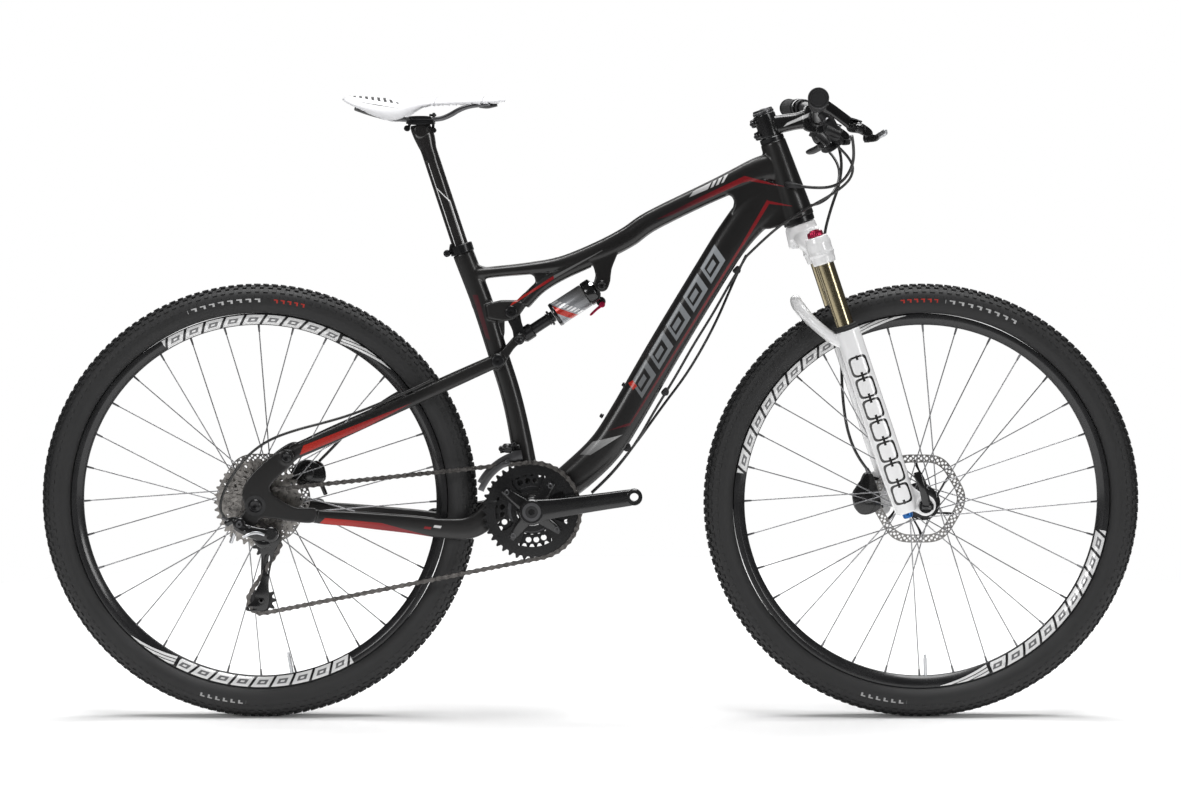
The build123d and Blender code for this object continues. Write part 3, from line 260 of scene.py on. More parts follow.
def painted(name, layers, rough=0.34, coat=0.3):
    """Satin carbon under clear lacquer, with flat graphics of (outlines, colour, second colour)."""
    nodes = surface(name, CARBON, rough, 0.0, coat, (700.0, 0.05), 0.25, patch=9.0)
    nodes.shader.inputs["Coat Roughness"].default_value = 0.2
    nodes.shader.inputs["Specular IOR Level"].default_value = 0.38
    x, y, z = nodes.coordinates()
    warp = nodes.new("ShaderNodeTexWave", {0: nodes.place(), "Scale": 420.0, "Distortion": 0.4},
                     bands_direction="DIAGONAL")
    color = nodes.blend(nodes.mul(warp, 0.25), nodes.base, rgb(0.016, 0.0155, 0.015))
    for outlines, tint, second, span in layers:
        mask = None
        for outline in outlines:
            part = nodes.inside(x, z, outline)
            mask = part if mask is None else nodes.high(mask, part)
        shade = tint
        if second:
            (x0, z0), (x1, z1) = span
            run = Vector((x1 - x0, z1 - z0))
            length = run.length_squared * MM
            share = nodes.fma(z, run.y / length,
                               -(run.x * x0 + run.y * z0) / run.length_squared)
            share = nodes.fma(x, run.x / length, share)
            shade = nodes.blend(nodes.ramp(share, 0, 1), tint, second)
        color = nodes.blend(mask, color, shade)
    nodes.set(nodes.shader.inputs["Base Color"], color)
    return nodes


def slash(start, along, across, u0, u1, v0, v1, lean):
    """Leaning four-sided mark on a tube, as (x, z) corners."""
    corners = []
    for u, v in ((u0, v0), (u1, v0), (u1 + lean, v1), (u0 + lean, v1)):
        corners.append((start[0] + along[0] * u + across[0] * v, start[1] + along[1] * u + across[1] * v))
    return corners


TUBE_START = (76.0, 549.0)
TUBE_ALONG = (0.5150, 0.8572)
TUBE_ACROSS = (-0.8572, 0.5150)
BLOCK_PITCH = 56
BLOCK_COUNT = 5


def blocks(u0, u1, v0, v1, lean):
    """Equal leaning marks in a row along the down tube."""
    return [slash(TUBE_START, TUBE_ALONG, TUBE_ACROSS, BLOCK_PITCH * number + u0, BLOCK_PITCH * number + u1,
                  v0, v1, lean) for number in range(BLOCK_COUNT)]


marks = blocks(0, 46, -12, 17, 13)
cuts = blocks(8, 38, -6, 11, 8)
cores = blocks(13, 33, -1.5, 6.5, 3.6)
top_marks = [[(194, 888), (198, 890), (206, 907), (202, 905)],
             [(203, 892), (207, 894), (215, 911), (211, 909)],
             [(212, 896), (216, 898), (224, 915), (220, 913)]]
frame_paint = painted("carbon_frame_paint", [
    (marks, *BLOCK_FADE),
    (cuts, CARBON, None, None),
    (cores, *BLOCK_FADE),
    ([[(63.5, 568), (71, 573), (78, 563), (71, 557)]], ORANGE_PAINT, None, None),
    ([[(4, 469.5), (53.5, 481.4), (0, 447.6), (-18, 447.6)]], rgb(0.1), rgb(0.36), ((-18, 447), (54, 481))),
    ([[(65, 500), (69.5, 501), (256, 800), (251, 799.5)],
      [(251, 799.5), (256, 799), (299, 869), (295, 875)],
      [(29, 488.5), (67, 497), (68, 502), (60, 500)], [(294, 874), (298, 868), (336, 864), (336, 865)]],
     DARK_RED, RED_PAINT, ((67, 440), (280, 850))),
    ([[(110, 842), (180, 878), (180, 869), (139, 850)], [(180, 878), (257, 914.7), (253, 903), (180, 869)],
      [(257, 914.7), (270, 911.3), (266, 906), (253, 903)],
      [(270, 911.3), (325, 897), (325, 896.5), (266, 906)]],
     DARK_RED, RED_PAINT, ((150, 862), (235, 903))),
    ([[(165, 879), (172, 889), (230, 918), (222, 904)]], rgb(0.3), rgb(0.62), ((165, 879), (222, 910))),
    (top_marks, CARBON, None, None),
    ([[(-136, 696), (-131, 703), (-62, 748), (-61, 743)]], ORANGE_PAINT, RED_PAINT,
     ((-136, 697), (-62, 746))),
    ([[(-62, 748), (-61, 743), (20, 790), (20, 791)]], rgb(0.12), None, None),
    ([[(-198, 716), (-189, 716), (-168, 640), (-176, 644)]], DARK_RED, None, None),
])
swing_paint = painted("carbon_swingarm_paint", [
    ([[(-452, 336.5), (-442.5, 345.5), (-349, 336), (-265, 312)]], ORANGE_PAINT, RED_PAINT,
     ((-452, 340), (-330, 325))),
    ([[(-279, 326), (-277, 330), (-266, 328.5), (-268, 324.5)]], RED_PAINT, None, None),
    ([[(-263, 328), (-261, 332), (-249, 330.5), (-251, 326.5)]], rgb(0.6), None, None),
])
stay_paint = painted("carbon_seatstay_paint", [
    ([[(-484, 451), (-478, 467), (-300, 536), (-376, 495.5)]], ORANGE_PAINT, RED_PAINT,
     ((-480, 450), (-310, 525))),
])


# ---- shapes: each function gives (vertices, faces) in millimetres ---------------------------
def joined(*shapes):
    verts, faces = [], []
    for shape in shapes:
        base = len(verts)
        verts += [Vector(v) for v in shape[0]]
        faces += [[base + i for i in face] for face in shape[1]]
    return verts, faces


def mirrored(shape):
    """The shape and its mirror image across the bike."""
    verts, faces = shape
    other = ([Vector((v[0], -v[1], v[2])) for v in verts], [list(reversed(face)) for face in faces])
    return joined(shape, other)


def lathe(profile, centre, axis, steps=48, closed=False, start=None):
    """Profile of (radius, along) turned about an axis."""
    axis = Vector(axis).normalized()
    side = axis.orthogonal().normalized() if start is None else Vector(start)
    other = axis.cross(side)
    centre = Vector(centre)
    count = len(profile)
    verts, faces = [], []
    for step in range(steps):
        angle = TAU * step / steps
        out = side * cos(angle) + other * sin(angle)
        verts += [centre + axis * along + out * radius for radius, along in profile]
    spans = count if closed else count - 1
    for step in range(steps):
        here, there = step * count, (step + 1) % steps * count
        for i in range(spans):
            j = (i + 1) % count
            faces.append([here + i, there + i, there + j, here + j])
    if not closed:
        faces.append([step * count for step in reversed(range(steps))])
        faces.append([step * count + count - 1 for step in range(steps)])
    return verts, faces


def rod(start, end, radius, end_radius=None, edge=0.6, steps=32):
    """Round bar with softened ends."""
    start, end = Vector(start), Vector(end)
    length = (end - start).length
    end_radius = radius if end_radius is None else end_radius
    edge = min(edge, radius * 0.4, length * 0.3)
    return lathe([(radius - edge, 0), (radius, edge), (end_radius, length - edge),
                  (end_radius - edge, length)], start, end - start, steps)


def cross_rod(point, y0, y1, radius, edge=0.6, steps=32):
    return rod(at(point, y0), at(point, y1), radius, None, edge, steps)


def circle(x, z, radius, steps=24, turn=0.0):
    return [(x + radius * cos(turn + TAU * i / steps), z + radius * sin(turn + TAU * i / steps))
            for i in range(steps)]


def rounded(outline, spans=6):
    """Smooth closed curve through the outline's points."""
    points = [Vector(p) for p in outline]
    count = len(points)
    result = []
    for i in range(count):
        a, b, c, d = (points[(i + k - 1) % count] for k in range(4))
        for step in range(spans):
            t = step / spans
            result.append(tuple(0.5 * (2 * b + (c - a) * t + (2 * a - 5 * b + 4 * c - d) * t * t
                                       + (3 * b - 3 * c + d - a) * t ** 3)))
    return result


def plate(outline, y0, y1, holes=()):
    """Flat plate across Y with holes through it."""
    rings = [list(outline), *[list(h) for h in holes]]
    flat = [[Vector((x, z, 0)) for x, z in ring] for ring in rings]
    verts, faces = [], []
    triangles = tessellate_polygon(flat)
    points = [p for ring in rings for p in ring]
    total = len(points)
    for y in (y0, y1):
        verts += [Vector((x, y, z)) for x, z in points]
    for a, b, c in triangles:
        p, q, r = (Vector(points[i]) for i in (a, b, c))
        up = (q - p).cross(r - p) > 0
        order = (a, b, c) if up else (c, b, a)
        faces.append(list(order))
        faces.append([i + total for i in reversed(order)])
    base = 0
    for number, ring in enumerate(rings):
        count = len(ring)
        area = sum(a[0] * b[1] - b[0] * a[1] for a, b in zip(ring, ring[1:] + ring[:1]))
        for i in range(count):
            j = (i + 1) % count
            quad = [base + i, base + i + total, base + j + total, base + j]
            if (area > 0) == (number == 0):
                faces.append(quad)
            else:
                faces.append(list(reversed(quad)))
        base += count
    return verts, faces


def spline(points, spans=8):
    """Smooth open curve through points of any size."""
    points = [Vector(p) for p in points]
    points = [points[0] * 2 - points[1], *points, points[-1] * 2 - points[-2]]
    result = []
    for a, b, c, d in zip(points, points[1:], points[2:], points[3:]):
        for step in range(spans):
            t = step / spans
            result.append(0.5 * (2 * b + (c - a) * t + (2 * a - 5 * b + 4 * c - d) * t * t
                                 + (3 * b - 3 * c + d - a) * t ** 3))
    result.append(points[-2])
    return result


def tube_loft(stations, power=2.6, ring=32, spans=8, across=ACROSS):
    """Tube through stations of (x, y, z, width, depth) with superellipse sections."""
    fine = spline([tuple(s[:3]) for s in stations], spans)
    sizes = spline([(s[3], s[4], 0) for s in stations], spans)
    verts, faces = [], []
    for number, (centre, size) in enumerate(zip(fine, sizes)):
        ahead = fine[min(number + 1, len(fine) - 1)] - fine[max(number - 1, 0)]
        ahead.normalize()
        side = (across - ahead * ahead.dot(across)).normalized()
        up = ahead.cross(side)
        for i in range(ring):
            angle = TAU * i / ring
            c, s = cos(angle), sin(angle)
            reach = (abs(c) ** power + abs(s) ** power) ** (-1 / power)
            verts.append(centre + side * (c * reach * size.x / 2) + up * (s * reach * size.y / 2))
    for number in range(len(fine) - 1):
        for i in range(ring):
            j = (i + 1) % ring
            a, b = number * ring, (number + 1) * ring
            faces.append([a + i, a + j, b + j, b + i])
    faces.append(list(reversed(range(ring))))
    faces.append([(len(fine) - 1) * ring + i for i in range(ring)])
    return verts, faces


def moved(shape, change):
    return [change(Vector(v)) for v in shape[0]], shape[1]


# ---- pieces --------------------------------------------------------------------------------
WELD = 1e-6  # metres between points that count as one
BEVEL_FROM = radians(40)  # edges sharper than this get the small bevel


def linked(name, data):
    """A new object in the scene."""
    obj = bpy.data.objects.new(name, data)
    bpy.context.scene.collection.objects.link(obj)
    return obj


def mesh_object(name, shape):
    """A new object from (vertices, faces) in millimetres."""
    mesh = bpy.data.meshes.new(name)
    mesh.from_pydata([Vector(v) * MM for v in shape[0]], [], [tuple(f) for f in shape[1]])
    return linked(name, mesh)


def baked(obj):
    """The object's mesh with its modifiers or curve settings applied."""
    bpy.context.view_layer.update()
    graph = bpy.context.evaluated_depsgraph_get()
    return bpy.data.meshes.new_from_object(obj.evaluated_get(graph))


def piece(name, shape, body, look, nodes=(), angle=32.0, bevel=0.0):
    """A mesh object that rides on a body and stands for CAD nodes."""
    obj = mesh_object(name, shape)
    mesh = obj.data
    mesh.validate()
    tidy = bmesh.new()
    tidy.from_mesh(mesh)
    bmesh.ops.remove_doubles(tidy, verts=tidy.verts, dist=WELD)
    bmesh.ops.recalc_face_normals(tidy, faces=tidy.faces)
    tidy.to_mesh(mesh)
    tidy.free()
    if bevel:
        modifier = obj.modifiers.new("edge", "BEVEL")
        modifier.width = bevel * MM
        modifier.segments = 2
        modifier.limit_method = "ANGLE"
        modifier.angle_limit = BEVEL_FROM
        freeze(obj)
    finish_piece(obj, body, look, nodes, angle)
    return obj


def freeze(obj):
    """Applies the object's modifiers."""
    mesh = baked(obj)
    obj.modifiers.clear()
    obj.data = mesh


def shade(obj, angle):
    obj.data.polygons.foreach_set("use_smooth", [True] * len(obj.data.polygons))
    obj.data.set_sharp_from_angle(angle=radians(angle))


def finish_piece(obj, body, look, nodes, angle):
    obj.data.materials.clear()
    obj.data.materials.append(look.material)
    shade(obj, angle)
    if body:
        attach(obj, body)
    if nodes:
        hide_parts(*nodes)


def organic(name, shapes, body, look, nodes, voxel=1.6, passes=10):
    """Shapes melted into one skin, with soft fillets where they meet."""
    obj = mesh_object(name, joined(*shapes))
    remesh = obj.modifiers.new("skin", "REMESH")
    remesh.mode = "VOXEL"
    remesh.voxel_size = voxel * MM
    remesh.use_smooth_shade = True
    soft = obj.modifiers.new("soft", "SMOOTH")
    soft.factor = 0.5
    soft.iterations = passes
    freeze(obj)
    finish_piece(obj, body, look, nodes, 80.0)
    return obj


def cord_piece(name, points, radius, body=None, nodes=(), look=CABLE):
    """Round cable on a smooth spline with the route's points as control points."""
    curve = bpy.data.curves.new(name, "CURVE")
    curve.dimensions = "3D"
    line = curve.splines.new("NURBS")
    line.points.add(len(points) - 1)
    for point, place in zip(line.points, points):
        point.co = (*[c * MM for c in place], 1.0)
    line.order_u = 3
    line.use_endpoint_u = True
    line.resolution_u = 10
    curve.bevel_depth = radius * MM
    curve.bevel_resolution = 4
    curve.use_fill_caps = True
    holder = linked(name + ".line", curve)
    mesh = baked(holder)
    bpy.data.objects.remove(holder)
    obj = linked(name, mesh)
    finish_piece(obj, body, look, nodes, 60.0)
    return obj


def dress(look, *nodes):
    """CAD nodes that keep their shape and take a material."""
    for name in nodes:
        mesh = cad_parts[name].data
        mesh.materials.clear()
        mesh.materials.append(look.material)


# ---- wheels --------------------------------------------------------------------------------
def tyre_look(name, centre):
    nodes = surface(name, rgb(0.0105, 0.0105, 0.011), 0.6, 0.0, 0.0, (1500.0, 0.35), 0.2)
    x, y, z = nodes.coordinates()
    x = nodes.sub(x, centre.x * MM)
    z = nodes.sub(z, centre.z * MM)
    radius = nodes.math("SQRT", nodes.add(nodes.math("POWER", x, 2), nodes.math("POWER", z, 2)))
    turn = nodes.mul(nodes.math("ARCTAN2", z, x), 180 / pi)
    color = nodes.base
    band = nodes.mul(nodes.ramp(radius, 0.3368, 0.3372), nodes.ramp(radius, 0.3432, 0.3428))
    spans = ((86, 97, ORANGE_PAINT, 1.9), (62, 84, rgb(0.45), 2.6)) if centre.x > 0 else (
        (76, 86, ORANGE_PAINT, 1.9), (88, 110, rgb(0.5), 2.6))
    spans += ((-108, -94, rgb(0.35), 2.2),)
    for low, high, tint, pitch in spans:
        cell = nodes.fract(nodes.div(turn, pitch))
        mask = nodes.mul(nodes.ramp(cell, 0.22, 0.26), nodes.ramp(cell, 0.86, 0.82))
        core = nodes.mul(nodes.ramp(cell, 0.46, 0.5), nodes.ramp(radius, 0.3412, 0.3408))
        mask = nodes.mul(mask, nodes.sub(1.0, core))
        mask = nodes.mul(mask, nodes.ramp(turn, low, low + 0.1))
        mask = nodes.mul(mask, nodes.ramp(turn, high, high - 0.1))
        color = nodes.blend(nodes.mul(mask, band), color, tint)
    nodes.set(nodes.shader.inputs["Base Color"], color)
    return nodes


def rim_look(name, centre, spans):
    """Gloss black with pale block bands between angles, each with a pointed tail."""
    nodes = surface(name, rgb(0.013, 0.013, 0.014), 0.25, 0.2, 0.3, (500.0, 0.04))
    x, y, z = nodes.coordinates()
    x = nodes.sub(x, centre.x * MM)
    z = nodes.sub(z, centre.z * MM)
    radius = nodes.math("SQRT", nodes.add(nodes.math("POWER", x, 2), nodes.math("POWER", z, 2)))
    turn = nodes.mul(nodes.math("ARCTAN2", z, x), 180 / pi)
    color = nodes.base
    rise = nodes.ramp(radius, 0.2995, 0.3150)
    edge = nodes.mul(nodes.ramp(radius, 0.2990, 0.2994), nodes.ramp(radius, 0.3156, 0.3152))
    for low, high, tail, cells in spans:
        width = (high - low) / cells
        along = nodes.div(nodes.sub(turn, low), width)
        along = nodes.fma(rise, 0.3, along)
        cell = nodes.fract(along)
        within = nodes.mul(nodes.ramp(turn, low, low + 0.1), nodes.ramp(turn, high, high - 0.1))
        body = nodes.mul(nodes.ramp(cell, 0.06, 0.09), nodes.ramp(cell, 0.94, 0.91))
        across = nodes.size(nodes.sub(cell, 0.5))
        core = nodes.mul(nodes.ramp(across, 0.25, 0.22),
                          nodes.ramp(nodes.size(nodes.sub(rise, 0.5)), 0.26, 0.23))
        dot = nodes.mul(nodes.ramp(across, 0.11, 0.08),
                         nodes.ramp(nodes.size(nodes.sub(rise, 0.5)), 0.1, 0.07))
        white = nodes.add(nodes.sub(1.0, core), dot)
        tone = nodes.blend(white, rgb(0.16, 0.16, 0.165), rgb(0.8))
        mask = nodes.mul(nodes.mul(within, body), edge)
        color = nodes.blend(mask, color, tone)
        far = high + tail if tail > 0 else low + tail
        near = high + 1 if tail > 0 else low - 1
        share = nodes.ramp(turn, near, far)
        wedge = nodes.mul(nodes.ramp(nodes.sub(rise, share), 0.0, 0.02),
                           nodes.mul(nodes.ramp(share, 0.0, 0.01), nodes.ramp(share, 1.0, 0.99)))
        stripe = nodes.ramp(nodes.fract(nodes.mul(nodes.sub(rise, share), 3.0)),
                            0.72, 0.75)
        shade_mix = nodes.blend(stripe, rgb(0.8), rgb(0.02))
        color = nodes.blend(nodes.mul(wedge, edge), color, shade_mix)
    nodes.set(nodes.shader.inputs["Base Color"], color)
    return nodes


def tyre_shape(centre):
    """Carcass, bead lines and rows of tread blocks."""
    hub_radius = 339.5
    section = 24.6
    profile = []
    for step in range(49):
        angle = radians(-146 + 292 * step / 48)
        radius = section * (1.06 if abs(step - 24) > 6 else 1.0)
        radius -= 0.5 if step in (9, 39) else 0.0
        profile.append((hub_radius + radius * cos(angle) * (1.0 if cos(angle) > 0 else 0.98),
                        radius * sin(angle)))
    profile += [(318, 10.5), (319, 0), (318, -10.5)]
    shapes = [lathe(profile, centre, ACROSS, 200, closed=True)]
    count = 156
    verts, faces = [], []
    rows = ((0.0, 4.5, 8.5, 7.2, 3.2), (0.5, 12.0, 8.0, 6.6, 3.0), (0.0, 19.0, 9.0, 6.4, 3.0),
            (0.5, 24.2, 7.6, 5.4, 2.6))
    for step in range(count):
        for shift, lateral, length, width, height in rows:
            for side in (-1, 1):
                turn = TAU * (step + shift + (0.25 if side > 0 else 0)) / count
                lean = side * min(lateral / section, 0.999)
                lean = asin(lean) if lateral < 22 else side * 1.3
                size = 1.0 if (step + int(lateral)) % 2 else 0.86
                base = len(verts)
                for lift, shrink in ((-1.2, 1.08), (height, 0.86)):
                    for u, v in ((-1, -1), (1, -1), (1, 1), (-1, 1)):
                        tilt = lean + v * width * size / 2 * shrink / section
                        around = turn + u * length * size / 2 * shrink / 364
                        reach = hub_radius + (section + lift) * cos(tilt)
                        verts.append(centre + Vector((reach * cos(around), (section + lift) * sin(tilt),
                                                      reach * sin(around))))
                faces += [[base + 4, base + 5, base + 6, base + 7]]
                for i in range(4):
                    j = (i + 1) % 4
                    faces.append([base + i, base + j, base + 4 + j, base + 4 + i])
                faces.append([base + 3, base + 2, base + 1, base])
    shapes.append((verts, faces))
    return joined(*shapes)


def rim_shape(centre):
    profile = [(316.6, -12.5), (317, -12.1), (317, -10.8), (316, -10.4), (311.5, -10), (311, 0),
               (311.5, 10),
               (316, 10.4), (317, 10.8), (317, 12.1), (316.6, 12.5), (309, 12.5), (307.5, 12), (299.5, 5.6),
               (298, 4.2), (298, -4.2), (299.5, -5.6), (307.5, -12), (309, -12.5)]
    return lathe(profile, centre, ACROSS, 160, closed=True)


def nipples_shape(centre, flanges):
    """Spoke nipples at the rim, elbows at the hub."""
    shapes = []
    for side, flange in ((-1, flanges[0]), (1, flanges[1])):
        for number in range(16):
            lead = 1 if number % 2 else -1
            seat = TAU * (number + (0.5 if side > 0 else 0)) / 16
            hole = seat + lead * radians(66)
            start = centre + Vector((25 * cos(hole), flange + lead * 2.6, 25 * sin(hole)))
            end = centre + Vector((300 * cos(seat), 2.0 * side, 300 * sin(seat)))
            run = (end - start).normalized()
            shapes.append(rod(end - run * 14, end - run * 1, 1.5, 2.0, 0.3, 8))
            shapes.append(rod(start - Vector((0, lead * 4.2, 0)), start + Vector((0, lead * 0.8, 0)), 1.6,
                              1.3,
                              0.3, 8))
    return joined(*shapes)


def hub_shape(centre, half, flanges, rotor_y):
    right, left = flanges
    profile = [(7.2, -half), (9.5, -half), (10, -half + 1), (10, right - 6), (13, right - 4),
               (24, right - 1.6),
               (28, right - 1.6), (29, right - 0.8), (29, right + 0.8), (28, right + 1.6), (18, right + 3),
               (15.5, right + 8), (14.6, (right + left) / 2), (15.5, left - 8), (18, left - 3),
               (28, left - 1.6),
               (29, left - 0.8), (29, left + 0.8), (28, left + 1.6), (19, left + 3), (17, rotor_y - 1.2),
               (17, rotor_y + 1), (12, rotor_y + 1.6), (10, rotor_y + 2), (10, half - 1), (9.5, half),
               (7.2, half)]
    return lathe(profile, centre, ACROSS, 64, closed=True)


def rotor_shape(centre, y):
    outline, inner = [], []
    for step in range(144):
        angle = TAU * step / 144
        wave = cos(6 * angle)
        outline.append(polar(centre, 77.6 + 2.3 * wave, angle))
        inner.append(polar(centre, 63.5 + 2.0 * wave, angle))
    holes = [inner]
    for step in range(48):
        angle = TAU * step / 48
        for radius, size, shift in ((74.2, 1.9, 0.0), (67.2, 1.9, 0.0), (70.7, 2.4, 0.5)):
            turn = angle + TAU * shift / 48
            reach = radius + 2.1 * cos(6 * turn)
            holes.append(circle(*polar(centre, reach, turn), size, 10))
    return plate(outline, y - ROTOR_HALF, y + ROTOR_HALF, holes)


def rotor_arms(centre, y):
    shapes = [plate(circle(centre.x, centre.z, 25.5, 48), y - ROTOR_HALF, y + ROTOR_HALF,
                    [circle(centre.x, centre.z, 17.3, 48)]
                    + [circle(*polar(centre, 22, TAU * i / 6), 1.6, 10)
                       for i in range(6)])]
    for number in range(6):
        base = TAU * number / 6
        upper, lower = [], []
        for step in range(13):
            share = step / 12
            radius = 24 + (66.5 - 24) * share
            turn = base + 0.62 * share + 0.16 * sin(pi * share)
            half = 3.4 - 1.5 * sin(pi * share)
            out = Vector((cos(turn), sin(turn)))
            side = Vector((-out.y, out.x))
            mid = Vector((centre.x, centre.z)) + out * radius
            upper.append(tuple(mid + side * half))
            lower.append(tuple(mid - side * half))
        shapes.append(plate(lower + upper[::-1], y - 0.85, y + 0.85))
        bolt = centre + Vector((22 * cos(base), 0, 22 * sin(base)))
        shapes.append(cross_rod(bolt, y + 0.9, y + 3.2, 3.4, 0.5, 14))
    return joined(*shapes)


WHEELS = (
    ("front", FRONT, (-33.0, 25.0), 49.8, 37.5, "front_wheel",
     ((113.0, 171.0, -18.0, 9), (-67.0, -9.0, -17.0, 9))),
    ("rear", REAR, (-12.0, 34.0), 67.2, 51.0, "rear_wheel",
     ((64.0, 121.0, -19.0, 9), (-117.0, -60.0, -17.0, 9))),
)
for name, centre, flanges, half, rotor_y, body, spans in WHEELS:
    tyre_paint = tyre_look(name + "_tyre_rubber", centre)
    piece(name + "_tyre_tread", tyre_shape(centre), body, tyre_paint, [name + "_tyre"], 38.0)
    piece(name + "_rim_profile", rim_shape(centre), body, rim_look(name + "_rim_paint", centre, spans),
          [name + "_rim"])
    piece(name + "_nipples", nipples_shape(centre, flanges), body, DARK_STEEL, [])
    dress(SPOKE_STEEL, name + "_spokes")
    piece(name + "_hub_shell", hub_shape(centre, half, flanges, rotor_y), body, BLACK, [name + "_hub"])
    piece(name + "_rotor_track", rotor_shape(centre, rotor_y), body, ROTOR_STEEL, [name + "_rotor"])
    piece(name + "_rotor_carrier", rotor_arms(centre, rotor_y), body, BLACK, [], bevel=0.2)
    valve_turn = radians(-88 if name == "front" else -80)
    out = Vector((cos(valve_turn), 0, sin(valve_turn)))
    piece(name + "_valve", joined(rod(centre + out * 299, centre + out * 268, 3.0, 3.0, 0.4, 16),
                                  rod(centre + out * 268, centre + out * 262, 2.2, 2.2, 0.4, 12)),
          body, SILVER, [])


# ---- drive train ---------------------------------------------------------------------------
def toothed(centre, teeth, depth=1.0):
    pitch_radius = HALF_PITCH / sin(pi / teeth)
    root, tip = pitch_radius - 3.9, pitch_radius + 2.5
    outline = []
    for tooth in range(teeth):
        for share, level in ((-0.5, 0.0), (-0.34, 0.06), (-0.22, 0.5), (-0.1, 1.0), (0.1, 1.0), (0.22, 0.5),
                             (0.34, 0.06)):
            angle = TAU * (tooth + share) / teeth
            radius = root + (tip - root) * level * depth
            outline.append(polar(centre, radius, angle))
    return outline


COGS = (11, 12, 14, 16, 18, 21, 24, 28, 32, 36)
cog_shapes = []
for number, teeth in enumerate(COGS):
    y = CHAIN_Y + number * COG_SPACING
    pitch_radius = HALF_PITCH / sin(pi / teeth)
    holes = [circle(REAR.x, REAR.z, 10.2 if number < 4 else 17.0, 32)]
    if number >= 4:
        inner = HALF_PITCH / sin(pi / COGS[number - 1])
        count = max(8, teeth // 2)
        for step in range(count):
            angle = TAU * (step + 0.5 * (number % 2)) / count
            reach = pitch_radius - 9.2
            holes.append(circle(*polar(REAR, reach, angle), 2.9, 12))
        if number >= 6:
            count = 9
            for step in range(count):
                angle = TAU * (step + 0.3 * (number % 3)) / count
                reach = pitch_radius - 20
                holes.append(circle(*polar(REAR, reach, angle), 5.0, 16))
    cog_shapes.append(plate(toothed(REAR, teeth), y - 0.85, y + 0.85, holes))
    if number:
        cog_shapes.append(cross_rod(REAR, y - 3.1, y - 0.9, 16.5 if number < 5 else 20, 0.2, 48))
cog_shapes.append(lathe([(8, CHAIN_Y - 3.4), (14.2, CHAIN_Y - 3.4), (15, CHAIN_Y - 2.8), (15, CHAIN_Y - 1),
                         (8, CHAIN_Y - 1)], at(REAR, 0), ACROSS, 36, closed=True))
piece("cassette_sprockets", joined(*cog_shapes), "sprockets", COG_STEEL, ["cassette"])

CRANK_TURN = radians(8.4)


def lobed_hole(centre, low, high, start, end):
    """Kidney-shaped window between two radii and two angles."""
    outer = [(centre.x + high * cos(start + (end - start) * i / 12),
              centre.z + high * sin(start + (end - start) * i / 12))
             for i in range(13)]
    inner = [(centre.x + low * cos(end + (start - end) * i / 12),
              centre.z + low * sin(end + (start - end) * i / 12))
             for i in range(13)]
    return rounded_corner(outer + inner)


def rounded_corner(outline):
    """Softens an outline's corners by averaging neighbours once."""
    count = len(outline)
    return [tuple((outline[i - 1][k] + 2 * outline[i][k] + outline[(i + 1) % count][k]) / 4 for k in (0, 1))
            for i in range(count)]


big_holes, mid_holes = [], []
for quarter in range(4):
    angle = CRANK_TURN + quarter * pi / 2
    big_holes.append(lobed_hole(CRANK, 35.0, 61.0, angle - 0.52, angle + 0.52))
    for shift in (-0.26, 0.0, 0.26):
        mid_holes.append(circle(*polar(CRANK, 50, angle + shift), 4.8, 16))
    big_holes.append(circle(*polar(CRANK, 60, angle + pi / 4 + 0.3), 2.6, 14))
big_holes.append(circle(CRANK.x, CRANK.z, 27, 48))
mid_holes.append(circle(CRANK.x, CRANK.z, 41, 64))
piece("outer_chainring", plate(toothed(CRANK, 40), CHAIN_Y - 1.0, CHAIN_Y + 1.0, big_holes), "crank", GLOSS,
      ["chainrings"], 18.0, bevel=0.25)
piece("middle_chainring", plate(toothed(CRANK, 30), CHAIN_Y + 6.8, CHAIN_Y + 8.8, mid_holes), "crank",
      BLACK, [],
      18.0, bevel=0.25)
piece("inner_chainring", plate(toothed(CRANK, 22), CHAIN_Y + 14.6, CHAIN_Y + 16.6,
                               [circle(CRANK.x, CRANK.z, 27, 48)]), "crank", DARK_STEEL, [],
      18.0, bevel=0.25)
bolts = []
for quarter in range(4):
    angle = CRANK_TURN + pi / 4 + quarter * pi / 2
    seat = CRANK + Vector((52 * cos(angle), 0, 52 * sin(angle)))
    bolts.append(lathe([(2.4, -3.4), (2.4, -4.6), (4.2, -4.6), (4.8, -4.0), (4.8, 10.0), (2.4, 10.0)],
                       at(seat, CHAIN_Y), ACROSS, 24, closed=True))
piece("chainring_bolts", joined(*bolts), "crank", DARK_STEEL, [])


def crank_stations(tip, side):
    ahead = (tip - CRANK).normalized()
    result = []
    for share, inner, outer, depth in ((-0.1, 62, 77, 30), (0.0, 62, 78, 40), (0.14, 63, 79.5, 36),
                                       (0.3, 65, 81, 32), (0.7, 69, 85, 28.5), (0.93, 71, 86, 27.5),
                                       (1.04, 71, 86, 25)):
        point = CRANK + ahead * (CRANK_LENGTH * share)
        result.append((point.x, side * (inner + outer) / 2, point.z, outer - inner, depth))
    return result


